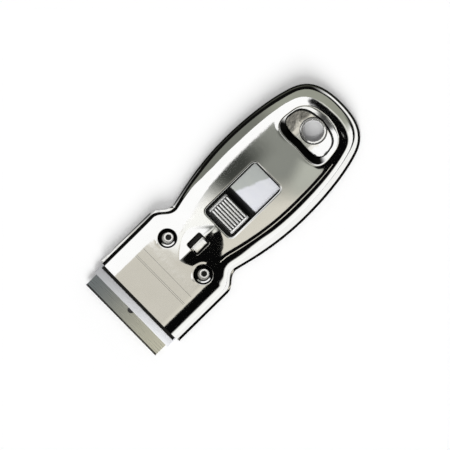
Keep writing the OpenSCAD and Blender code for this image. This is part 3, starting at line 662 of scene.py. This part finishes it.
def drawn_shell_mesh():
    plan, edges = shell_plan()
    found = geometry.delaunay_2d_cdt([Vector(p) for p in plan], edges, [], 0, 1e-5, False)
    flat = np.array([tuple(v) for v in found[0]])
    faces = np.array(found[2])
    middles = flat[faces].mean(axis=1)
    x, y = middles[:, 0], middles[:, 1]
    keep = (inside_wall(middles)[0] > 0) & (y > 0)
    for side in (-1, 1):
        keep &= np.hypot(x - side * RIVET_X, y - RIVET_AT) > RIVET_HOLE_R - 0.02
    keep &= np.hypot(x, y - HANG_AT) > WELL_BORE_R - 0.02
    for box in (WINDOW, SLOT):
        keep &= box_distance(middles, box) > 0
    z = shell_height(flat)
    z[np.abs(inside_wall(flat)[0]) < 0.01] = WALL_TOP
    mesh = bpy.data.meshes.new("drawn_shell")
    mesh.from_pydata([(x * MM, (y + MOUTH_Y) * MM, h * MM) for (x, y), h in zip(flat, z)], [],
                     [tuple(int(i) for i in f) for f in faces[keep]])
    # Painted shade, near black in the recesses and round the openings, for the material
    shade = mesh.attributes.new("painted_recess_shade", "FLOAT", "POINT")
    shade.data.foreach_set("value", painted_recess_shade(flat).astype(np.float32))
    work = bmesh.new()
    work.from_mesh(mesh)
    bmesh.ops.delete(work, geom=[v for v in work.verts if not v.link_faces], context="VERTS")
    at_mouth = (MOUTH_Y + 0.01) * MM
    rim = [e for e in work.edges if e.is_boundary
           and all(abs(v.co.z - WALL_TOP * MM) < 1e-7 for v in e.verts)
           and not all(v.co.y < at_mouth for v in e.verts)]
    for height in WALL_STEPS:
        rim = pulled_down(work, rim, height)
    return face_up(work, mesh)


def give_sheet(piece, thick):
    """A live sheet thickness under a piece's outer face."""
    sheet = piece.modifiers.new("sheet", "SOLIDIFY")
    sheet.thickness = thick * MM
    sheet.offset = -1


def finished(piece):
    """Turns a piece's live modifiers into its plain mesh."""
    depsgraph = bpy.context.evaluated_depsgraph_get()
    mesh = bpy.data.meshes.new_from_object(piece.evaluated_get(depsgraph))
    piece.modifiers.clear()
    piece.data = mesh
    return piece


def soften(mesh, degrees):
    """Smooth shading, but for edges sharper than an angle."""
    mesh.shade_smooth()
    mesh.set_sharp_from_angle(angle=math.radians(degrees))


# Fine lines ruled across the front panel: their places, and the middle and half sizes of all
RULED_LINES = (11.2, 11.8, 15.4)
RULED_X = -0.4
RULED_HALF_L = 13.1
RULED_HALF_W = 0.09


def chrome_material():
    """Bright chrome on drawn steel: it mirrors the room, a little wavy from the drawing and
    hazed by the buff. Its recesses and the rims of its openings are painted near black as
    shade and are duller, and grime sits in the panel's ruled lines."""
    material, node, place = new_material("bright chrome on drawn steel")
    haze = node("TexNoise", Vector=place, Scale=0.12 / MM, Detail=5.0)
    tint = node("Mix", data_type="RGBA", Factor=haze, A="#F8F8F6", B="#FFFFFF")
    spot = node("SeparateXYZ", place).outputs
    within = node("Math", spot["X"], RULED_X * MM, RULED_HALF_L * MM, operation="COMPARE")
    faint = node("Math", within, 0.5, operation="MULTIPLY")
    dark = node("Attribute", attribute_name="painted_recess_shade").outputs["Fac"]
    for y in RULED_LINES:
        line = node("Math", spot["Y"], (y + MOUTH_Y) * MM, RULED_HALF_W * MM, operation="COMPARE")
        ruled = node("Math", line, faint, operation="MULTIPLY")
        dark = node("Math", dark, ruled, operation="MAXIMUM")
    # The buff's grain is finer than a pixel, so it is drawn 0.3 mm coarse
    grain = node("TexNoise", Vector=place, Scale=3.3 / MM, Detail=3.0)
    wave = node("TexNoise", Vector=place, Scale=0.45 / MM, Detail=2.0)
    rough = node("MapRange", grain, To_Min=0.03, To_Max=0.12)
    uneven = node("Math", grain, 0.12, wave, operation="MULTIPLY_ADD")
    node("OutputMaterial", node(
        "BsdfPrincipled", Metallic=1.0,
        Base_Color=node("Mix", data_type="RGBA", Factor=dark, A=tint, B="#0E0E0D"),
        Specular_Tint=node("Mix", data_type="RGBA", Factor=dark, A=(1, 1, 1, 1), B="#0E0E0D"),
        Roughness=node("Math", dark, 0.25, rough, operation="MULTIPLY_ADD"),
        Normal=node("Bump", Height=uneven, Distance=0.012 * MM)))
    return material


shell = new_piece("drawn_shell", drawn_shell_mesh(), chrome_material())
give_sheet(shell, SHEET)
finished(shell)
soften(shell.data, 52)
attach(shell, "handle")
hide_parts("top_shell")

# Back plate
# A flat blank of chrome plated steel under the shell, with a notch for the drawing tool
# in its left edge. The stop tang is lanced out of it and bent over to the right.
# Its cut edge is rounded by the shears and painted near black as shade.
TANG_HEAD_FROM = 8.6
TANG_LIFT = 0.125
PLATE_H = 1.0
RIM_DROP = 0.055


def broken_edges(name, node, width, segments=2, first=None):
    """A merged copy of a CAD node's mesh with its sharp edges rounded. first is a function
    that changes it before."""
    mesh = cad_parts[node].data.copy()
    mesh.name = name
    mesh.materials.clear()
    work = bmesh.new()
    work.from_mesh(mesh)
    bmesh.ops.remove_doubles(work, verts=work.verts, dist=1e-6)
    bmesh.ops.dissolve_limit(work, angle_limit=math.radians(1), verts=work.verts,
                             edges=work.edges)
    bmesh.ops.recalc_face_normals(work, faces=work.faces)
    if first:
        first(work)
    sharp = [e for e in work.edges
             if len(e.link_faces) == 2 and e.calc_face_angle(0) > math.radians(30)]
    bmesh.ops.bevel(work, geom=sharp, offset=width * MM, segments=segments, profile=0.5,
                    affect="EDGES", clamp_overlap=True)
    bmesh.ops.triangulate(work, faces=[f for f in work.faces if len(f.verts) > 4])
    work.to_mesh(mesh)
    work.free()
    soften(mesh, 40)
    return mesh


def metal_finish(name, pale, dull, rough, grain, stretch=(1, 1, 1), dark=None, painted_tone=None,
                 metal=1.0):
    """Worked metal: two shades of it in soft clouds, and a buffed or brushed grain in its
    roughness, with so many grains to the millimetre, which is coarser than the real ones so
    that they show. dark masks what is painted near black, mostly as shade, and the colour
    function after it paints shade or a reflection into the colour. A passivated plating or an
    oiled face scatters some of its light, so it isn't all metal."""
    material, node, place = new_material(name)
    cloud = node("TexNoise", Vector=place, Scale=0.26 / MM, Detail=5.0)
    tint = node("Mix", data_type="RGBA", Factor=cloud, A=dull, B=pale)
    if dark:
        tint = node("Mix", data_type="RGBA", Factor=dark(node, place), A=tint, B="#0D0D0C")
    if painted_tone:
        tint = painted_tone(node, place, tint)
    along = node("Mapping", Vector=place, Scale=stretch)
    lines = node("TexNoise", Vector=along, Scale=grain / MM, Detail=3.0)
    uneven = node("MapRange", lines, To_Min=rough[0], To_Max=rough[1])
    bump = node("Bump", Height=lines, Distance=0.002 * MM)
    node("OutputMaterial", node("BsdfPrincipled", Base_Color=tint, Metallic=metal,
                                Roughness=uneven, Normal=bump))
    return material


def painted_edge_shade(node, place):
    """Mask of painted shade over the plate's sheared edge, which stands outside its flat margin.
    """
    up = node("SeparateXYZ", node("NewGeometry").outputs["Normal"]).outputs["Z"]
    flat = node("Math", up, operation="ABSOLUTE")
    return node("MapRange", flat, 0.93, 0.985, 0.97, 0.0)


def lower_rim(work):
    """The margin round the shell falls a little towards the plate's edge."""
    top = [e for e in work.edges if all(v.co.z > (PLATE_H - 0.01) * MM for v in e.verts)]
    ends = np.array([[(v.co.x / MM, v.co.y / MM - MOUTH_Y) for v in e.verts] for e in top])
    outside = np.all([inside_wall(ends[:, k])[0] < -LIP + 0.1 for k in (0, 1)], axis=0)
    made = bmesh.ops.bevel(work, geom=[e for e, out in zip(top, outside) if out],
                           offset=LIP * MM, segments=1, profile=0.5, affect="EDGES",
                           clamp_overlap=False)
    for vert in made["verts"]:
        if abs(vert.co.z - (PLATE_H - LIP) * MM) < 0.03 * MM:
            vert.co.z = (PLATE_H - RIM_DROP) * MM


plate_mesh = broken_edges("flat_back_plate", "back_plate", 0.25, segments=3, first=lower_rim)
for vert in plate_mesh.vertices:
    if vert.co.z > TANG_HEAD_FROM * MM:
        vert.co.z += TANG_LIFT * max(0, vert.co.x + 0.5 * MM)
plate = new_piece("flat_back_plate", plate_mesh, metal_finish(
    "bright chrome on flat steel", "#FAFAF8", "#EEEDEA", rough=(0.05, 0.14), grain=1.5,
    stretch=(1, 0.1, 1), dark=painted_edge_shade))
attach(plate, "handle")
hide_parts("back_plate")

# Rivets and spacer sleeves
# Two semi-tubular steel rivets, nickel plated, join the shell's dimples to the plate. Their
# ends are rolled outwards over the dimple's floor. A turned sleeve round each keeps the
# dimple off the plate.
RIVET_R = 1.5
RIVET_BORE = 1.0
RIVET_WEB = (1.2, 2.0)
RIVET_ROLL_H = 0.7
RIVET_ROLL_W = 0.5
HEAD_R = 2.0
HEAD_H = 0.45
HEAD_BREAK = 0.15
SLEEVE_R = 2.7
SLEEVE_BORE = 1.55
SLEEVE_TOP = DIMPLE_FLOOR - SHEET


def spun(name, profile, segments=48):
    """A turned piece: a closed profile of (radius, height), swept once round the Z axis."""
    turns = [2 * math.pi * k / segments for k in range(segments)]
    verts = [(r * MM * math.cos(a), r * MM * math.sin(a), z * MM) for a in turns
             for r, z in profile]
    count = len(profile)
    faces = [(k * count + i, following * count + i, following * count + (i + 1) % count,
              k * count + (i + 1) % count)
             for k in range(segments) for following in [(k + 1) % segments]
             for i in range(count)]
    mesh = bpy.data.meshes.new(name)
    mesh.from_pydata(verts, [], faces)
    work = bmesh.new()
    work.from_mesh(mesh)
    bmesh.ops.remove_doubles(work, verts=work.verts, dist=1e-7)
    bmesh.ops.recalc_face_normals(work, faces=work.faces)
    work.to_mesh(mesh)
    work.free()
    soften(mesh, 40)
    return mesh


def new_group(name, **inputs):
    """A new node group with its inputs by kind: the group, the function that adds to it,
    the inputs' sockets, and their identifiers."""
    tree = bpy.data.node_groups.new(name, "GeometryNodeTree")
    keys = {key: tree.interface.new_socket(name=key, in_out="INPUT",
                                           socket_type="NodeSocket" + kind).identifier
            for key, kind in inputs.items()}
    tree.interface.new_socket(name="Made", in_out="OUTPUT", socket_type="NodeSocketGeometry")
    node = partial(add, tree)
    return tree, node, node("NodeGroupInput").outputs, keys


def laid_out(node, given, piece):
    """Geometry Nodes: like pieces in a row, from a first place and a step."""
    places = node("GeometryNodeMeshLine", Count=given["Count"],
                  Start_Location=given["First"], Offset=given["Step"])
    row = node("GeometryNodeInstanceOnPoints", Points=places, Instance=piece)
    return node("GeometryNodeRealizeInstances", row)


def through(piece, tree, keys, **values):
    """Runs a piece through a node group, with the group's inputs given, and keeps the mesh."""
    nodes = piece.modifiers.new("nodes", "NODES")
    nodes.node_group = tree
    for name, value in values.items():
        nodes[keys[name]] = value
    return finished(piece)


row_tree, node, given, row_keys = new_group(
    "row of like pieces", Piece="Geometry", Count="Int", First="Vector", Step="Vector",
    Material="Material")
node("NodeGroupOutput", node("GeometryNodeSetMaterial", laid_out(node, given, given["Piece"]),
                             Material=given["Material"]))


def painted_bore_shade(x, y, dark_r, clear_r):
    """A mask of painted shade down the bores at (x, y) and at its mirror images."""
    def mask(node, place):
        even = node("VectorMath", place, operation="ABSOLUTE")
        off = node("VectorMath", even, (x * MM, y * MM, 0), operation="SUBTRACT")
        flat = node("VectorMath", off, (1, 1, 0), operation="MULTIPLY")
        away = node("VectorMath", flat, operation="LENGTH")
        return node("MapRange", away, dark_r * MM, clear_r * MM, 1.0, 0.0)
    return mask


rivet_profile = [
    (RIVET_BORE, 0.1), (RIVET_BORE + 0.1, 0), (HEAD_R - HEAD_BREAK, 0), (HEAD_R, HEAD_BREAK),
    (HEAD_R, HEAD_H), (RIVET_R, HEAD_H), (RIVET_R, DIMPLE_FLOOR)]
for a in range(0, 181, 10):
    c, s = math.cos(math.radians(a)), math.sin(math.radians(a))
    rivet_profile.append((RIVET_R + RIVET_ROLL_W * math.copysign(abs(c) ** 0.6, c),
                          DIMPLE_FLOOR + 0.02 + RIVET_ROLL_H * s ** 0.6))
rivet_profile += [(RIVET_BORE, RIVET_WEB[1]), (0, RIVET_WEB[1]), (0, RIVET_WEB[0]),
                  (RIVET_BORE, RIVET_WEB[0])]
FIRST_RIVET = [-RIVET_X * MM, (RIVET_AT + MOUTH_Y) * MM, 0]
RIVET_STEP = [2 * RIVET_X * MM, 0, 0]
rivets = through(
    new_piece("rolled_rivets", spun("rolled_rivet", rivet_profile)), row_tree, row_keys,
    Count=2, First=FIRST_RIVET, Step=RIVET_STEP,
    Material=metal_finish("bright nickel plate on rivet steel", "#FFFFFC", "#F6F4F0",
                          rough=(0.05, 0.16), grain=2.5, metal=0.5,
                          dark=painted_bore_shade(RIVET_X, -(RIVET_AT + MOUTH_Y), 1.08, 1.2)))
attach(rivets, "handle")
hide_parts("left_rivet", "right_rivet")

sleeve_profile = [
    (SLEEVE_BORE, PLATE_H + HEAD_BREAK), (SLEEVE_BORE + HEAD_BREAK, PLATE_H),
    (SLEEVE_R - HEAD_BREAK, PLATE_H), (SLEEVE_R, PLATE_H + HEAD_BREAK),
    (SLEEVE_R, SLEEVE_TOP - HEAD_BREAK), (SLEEVE_R - HEAD_BREAK, SLEEVE_TOP),
    (SLEEVE_BORE + HEAD_BREAK, SLEEVE_TOP), (SLEEVE_BORE, SLEEVE_TOP - HEAD_BREAK)]
sleeves = through(
    new_piece("spacer_sleeves", spun("spacer_sleeve", sleeve_profile)), row_tree, row_keys,
    Count=2, First=FIRST_RIVET, Step=RIVET_STEP,
    Material=metal_finish("turned and zinc-plated steel", "#C8CCD2", "#A8ACB2",
                          rough=(0.25, 0.4), grain=2.5, stretch=(0.1, 0.1, 1)))
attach(sleeves, "handle")
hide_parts("left_sleeve", "right_sleeve")

# Hanging eyelet
# A nickel plated eyelet lines the hanging hole. Its upper end is rolled outwards over the
# well's floor into a low roof, and its lower end is flush with the back plate.
EYELET_BORE = 4.15
EYELET_R = 4.65
EYELET_HEAD = 5.4
# The roof from its outer edge over its ridge to the bore, as (radius, height)
EYELET_ROOF = [(EYELET_HEAD, 2.2), (5.37, 2.26), (5.3, 2.3), (4.92, 2.455), (4.85, 2.485),
               (4.8, 2.5), (4.75, 2.485), (4.68, 2.455), (4.28, 2.3), (4.2, 2.26),
               (EYELET_BORE, 2.18)]

eyelet_profile = [
    (EYELET_BORE, 0.12), (EYELET_BORE + 0.12, 0), (EYELET_HEAD - HEAD_BREAK, 0),
    (EYELET_HEAD, HEAD_BREAK), (EYELET_HEAD, HEAD_H), (EYELET_R, HEAD_H), (EYELET_R, FLOOR_H),
    (EYELET_HEAD, FLOOR_H + 0.02), *EYELET_ROOF]
eyelet = through(
    new_piece("rolled_eyelet", spun("rolled_eyelet", eyelet_profile, 96)), row_tree, row_keys,
    Count=1, First=[0, (HANG_AT + MOUTH_Y) * MM, 0], Step=[0, 0, 0],
    Material=metal_finish("bright nickel plate on eyelet steel", "#FFFFFC", "#F8F6F2",
                          rough=(0.06, 0.2), grain=1.5, metal=0.8,
                          dark=painted_bore_shade(0, HANG_AT + MOUTH_Y, 4.17, 4.25)))
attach(eyelet, "handle")
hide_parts("hang_eyelet")

# Blade carrier
# One folded strip of zinc plated steel: the bed under the blade, the neck between the
# rivets, the grip's seat, the ramp, and the tail plate that closes the window behind the
# grip. A small tongue on the bed shows in the blade's locating hole. All that lies low in
# the shell, the tongue too, is painted near black as shade.
TONGUE_SIZE = (4.4, 3.4, 0.7)
TONGUE_AT = (0, -54.6, 1.95)
# Where painted shade ends under the tail plate, and where painted shade starts along the window's
# edges
SHADE_TO_Z = (7.6 * MM, 8.1 * MM)
EDGE_SHADE_FROM_X = (6.8 * MM, 7.0 * MM)
EDGE_SHADE_FROM_Y = (19.4 * MM, 19.55 * MM)
# A painted reflection greys the tail plate's far corner: its direction in plan, and how far off
# it starts
REFLECTION_WAY = (-0.929, 0.3694)
REFLECTION_FROM = (6.6, 7.6)


def painted_inner_shade(node, place):
    """Mask of painted shade over what lies inside the shell or under the blade, and along the
    window's edge on the tail plate."""
    spot = node("SeparateXYZ", place).outputs
    low = node("MapRange", spot["Z"], *SHADE_TO_Z, 1.0, 0.0)
    aside = node("Math", spot["X"], operation="ABSOLUTE")
    side = node("MapRange", aside, *EDGE_SHADE_FROM_X)
    rear = node("MapRange", spot["Y"], *EDGE_SHADE_FROM_Y)
    edge_shade = node("Math", side, rear, operation="MAXIMUM")
    dark = node("Math", low, edge_shade, operation="MAXIMUM")
    up = node("SeparateXYZ", node("NewGeometry").outputs["Normal"]).outputs["Z"]
    seen = node("MapRange", up, -0.5, -0.3, 0.0, 0.97)
    return node("Math", dark, seen, operation="MULTIPLY")


def painted_corner_reflection(node, place, tint):
    """The zinc's bluish white, greyed in the far corner by a painted reflection with a wavy edge.
    """
    wobble = node("TexNoise", Vector=place, Scale=0.35 / MM, Detail=3.0)
    way = [share / MM for share in REFLECTION_WAY] + [0]
    off = node("VectorMath", place, way, operation="DOT_PRODUCT")
    edge = node("Math", wobble, 1.6, off, operation="MULTIPLY_ADD")
    grey = node("MapRange", edge, *REFLECTION_FROM, interpolation_type="SMOOTHSTEP")
    return node("Mix", data_type="RGBA", blend_type="MULTIPLY", Factor=grey, A=tint, B="#CFD2C9")


carrier_mesh = broken_edges("folded_carrier", "blade_carrier", 0.18, segments=3)
work = bmesh.new()
work.from_mesh(carrier_mesh)
for vert in bmesh.ops.create_cube(work, size=MM)["verts"]:
    vert.co = Vector([c * size + at * MM for c, size, at in zip(vert.co, TONGUE_SIZE, TONGUE_AT)])
work.to_mesh(carrier_mesh)
work.free()
carrier = new_piece("folded_carrier", carrier_mesh, metal_finish(
    "zinc-plated sheet steel", "#FAFBFF", "#EEF0FA", rough=(0.28, 0.42), grain=0.9,
    stretch=(0.3, 1, 1), dark=painted_inner_shade, painted_tone=painted_corner_reflection, metal=0.25))
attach(carrier, "slide")
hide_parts("blade_carrier")

# Blade clamp
# A strip of satin zinc plated steel lies across the blade and holds it down. Its ends are
# folded down beside the carrier's bed.
DIM_RUN = (-20 * MM, 14 * MM)


def left_dim(node, place):
    """Mask that grows towards the left end, which has less light."""
    spot = node("SeparateXYZ", place).outputs
    return node("MapRange", spot["X"], *DIM_RUN, 0.5, 0.0)


clamp = new_piece("clamp_strip", broken_edges("clamp_strip", "blade_clamp", 0.15), metal_finish(
    "satin zinc plate", "#FCFCFF", "#EEF0F4", rough=(0.42, 0.55), grain=1.2,
    stretch=(0.08, 1, 1), dark=left_dim, metal=0.25))
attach(clamp, "slide")
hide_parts("blade_clamp")

# Razor blade and its spine
# Carbon steel strip, hardened, oiled and ground along one edge, with an aluminium strip
# folded round its back. Painted shade turns the steel from olive to a darker grey towards
# its left end, and black where it runs under the mouth.
BLADE_SHADE_RUN = (-20 * MM, 20 * MM)
GROUND_TO_Y = (-59.2 * MM, -59.05 * MM)
MOUTH_SHADE_FROM_Y = (-51.0 * MM, -50.8 * MM)


def painted_blade_shade(node, place, tint):
    """Painted shade, olive to a darker grey towards the left and black under the mouth, and a
    painted dark line on the ground edge.
    """
    spot = node("SeparateXYZ", place).outputs
    grey = node("MapRange", spot["X"], *BLADE_SHADE_RUN, 1.0, 0.0, interpolation_type="SMOOTHSTEP")
    painted_tone = node("Mix", data_type="RGBA", Factor=grey, A=tint, B="#6F7577")
    ground = node("MapRange", spot["Y"], *GROUND_TO_Y, 0.9, 0.0)
    mouth_shade = node("MapRange", spot["Y"], *MOUTH_SHADE_FROM_Y)
    dark = node("Math", ground, mouth_shade, operation="MAXIMUM")
    return node("Mix", data_type="RGBA", Factor=dark, A=painted_tone, B="#0F0F0E")


def dress(node, material):
    """Gives a CAD node's own object a material."""
    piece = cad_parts[node]
    if not piece.material_slots:
        piece.data.materials.append(material)
    for slot in piece.material_slots:
        slot.material = material


dress("razor_blade", metal_finish(
    "oiled carbon steel", "#CFCDBB", "#C3C1AF", rough=(0.22, 0.34), grain=1.8,
    stretch=(0.06, 1, 1), painted_tone=painted_blade_shade, metal=0.5))
dress("blade_spine", metal_finish(
    "folded aluminium strip", "#D6D8DA", "#C2C4C8", rough=(0.3, 0.42), grain=1.2,
    stretch=(0.08, 1, 1)))

# Thumb grip
# A pressed cap of chrome plated steel, staked to the carrier's seat. Seven ridges run
# across its top and bend down over its ends.
GRIP_FROM = -6.05
GRIP_L = 9.2
GRIP_HALF_W = 6.4
GRIP_BASE = 4.4
GRIP_TOP = 10.3
GRIP_ARCH = 0.5
GRIP_SHEET = 0.8
# How far the cap's ends, sides and corners turn down, and from which share of its size
END_DROP, END_FROM = 0.9, 0.8
SIDE_DROP, SIDE_FROM = 0.5, 0.86
CORNER_DROP = 0.1
RIDGES = 7
RIDGE_PITCH = 1.243
RIDGE_THICK = 0.74
RIDGE_HALF_L = 6.0
RIDGE_BEND = 1.3
RIDGE_SHIFT = 0.1
RIDGE_RISE = 0.13
# The cap is painted near black lower than this between the ridges, and this far to each side
DARK_TO_Z = ((GRIP_TOP + 0.05) * MM, (GRIP_TOP + 0.25) * MM)
DARK_TO_X = (5.3 * MM, 5.7 * MM)


def cap_mesh():
    """The cap under the ridges: an arched top with rounded edges and four walls."""
    across, along = np.linspace(-1, 1, 25), np.linspace(-1, 1, 13)
    verts = []
    for v in along:
        for u in across:
            end = max(0, (abs(u) - END_FROM) / (1 - END_FROM)) ** 2.2
            side = max(0, (abs(v) - SIDE_FROM) / (1 - SIDE_FROM)) ** 2
            corner = (abs(u) ** 8 + abs(v) ** 8) ** 0.75
            z = GRIP_TOP - GRIP_ARCH * u * u
            z -= END_DROP * end + SIDE_DROP * side + CORNER_DROP * corner
            y = GRIP_FROM + (1 + v) * GRIP_L / 2
            verts.append((u * GRIP_HALF_W * MM, y * MM, z * MM))
    wide = len(across)
    faces = [(k, k + 1, k + wide + 1, k + wide) for j in range(len(along) - 1)
             for k in range(j * wide, (j + 1) * wide - 1)]
    mesh = bpy.data.meshes.new("grip_cap")
    mesh.from_pydata(verts, [], faces)
    work = bmesh.new()
    work.from_mesh(mesh)
    pulled_down(work, [e for e in work.edges if e.is_boundary], GRIP_BASE)
    return face_up(work, mesh)


def ridged_group():
    """Geometry Nodes: ridges of one thickness across a cap, arched and bent down at their
    ends."""
    tree, node, given, keys = new_group(
        "ridges across a cap", Cap="Geometry", Count="Int", First="Vector", Step="Vector",
        Reach="Float", Arch="Float", Bend="Float", Thickness="Float", Material="Material")
    back = node("Math", given["Reach"], -1.0, operation="MULTIPLY")
    line = node("GeometryNodeCurvePrimitiveLine", Start=node("CombineXYZ", back),
                End=node("CombineXYZ", given["Reach"]))
    fine = node("GeometryNodeResampleCurve", Curve=line, Count=41)
    spot = node("SeparateXYZ", node("GeometryNodeInputPosition")).outputs
    share = node("Math", spot["X"], given["Reach"], operation="DIVIDE")
    size = node("Math", share, operation="ABSOLUTE")
    drops = []
    for power, depth in ((2.0, "Arch"), (9.0, "Bend")):
        grown = node("Math", size, power, operation="POWER")
        drops.append(node("Math", grown, given[depth], operation="MULTIPLY"))
    drop = node("Math", *drops, operation="ADD")
    down = node("Math", drop, -1.0, operation="MULTIPLY")
    bent = node("GeometryNodeSetPosition", Geometry=fine, Offset=node("CombineXYZ", Z=down))
    half = node("Math", given["Thickness"], 0.5, operation="MULTIPLY")
    ring = node("GeometryNodeCurvePrimitiveCircle", Resolution=16, Radius=half)
    bar = node("GeometryNodeCurveToMesh", Curve=bent, Profile_Curve=ring, Fill_Caps=True)
    both = node("GeometryNodeJoinGeometry", given["Cap"])
    tree.links.new(laid_out(node, given, bar).outputs[0], both.inputs[0])
    node("NodeGroupOutput", node("GeometryNodeSetMaterial", both, Material=given["Material"]))
    return tree, keys


def between_ridges(node, place):
    """Mask over the cap between its ridges, which paints it near black there."""
    spot = node("SeparateXYZ", place).outputs
    out = node("Math", spot["X"], spot["X"], operation="MULTIPLY")
    level = node("Math", out, GRIP_ARCH / GRIP_HALF_W ** 2 / MM, spot["Z"],
                 operation="MULTIPLY_ADD")
    deep = node("MapRange", level, *DARK_TO_Z, 1.0, 0.0)
    size = node("Math", spot["X"], operation="ABSOLUTE")
    middle = node("MapRange", size, *DARK_TO_X, 0.95, 0.0)
    return node("Math", deep, middle, operation="MULTIPLY")


grip = new_piece("ridged_grip", cap_mesh())
give_sheet(grip, GRIP_SHEET)
ridge_first = GRIP_FROM + GRIP_L / 2 - RIDGE_PITCH * (RIDGES - 1) / 2 + RIDGE_SHIFT
through(grip, *ridged_group(), Count=RIDGES,
        First=[0, ridge_first * MM, (GRIP_TOP + RIDGE_RISE) * MM], Step=[0, RIDGE_PITCH * MM, 0],
        Reach=RIDGE_HALF_L * MM, Arch=GRIP_ARCH * MM, Bend=RIDGE_BEND * MM,
        Thickness=RIDGE_THICK * MM,
        Material=metal_finish("bright chrome on a pressed cap", "#FFFFFF", "#F6F6F4",
                              rough=(0.06, 0.16), grain=1.8, dark=between_ridges, metal=0.5))
soften(grip.data, 50)
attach(grip, "slide")
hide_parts("thumb_grip")

# Leaf spring and its rivet
# A blued leaf of spring steel hangs under the seat and clicks into the back plate's two
# holes. A small zinc plated rivet holds it.
dress("detent_spring", metal_finish("blued spring steel", "#5C6A84", "#4A5468",
                                    rough=(0.2, 0.32), grain=1.5, stretch=(1, 0.1, 1)))
dress("spring_rivet", metal_finish("zinc-plated rivet steel", "#C4C8CE", "#A6AAB0",
                                   rough=(0.25, 0.4), grain=2.5))
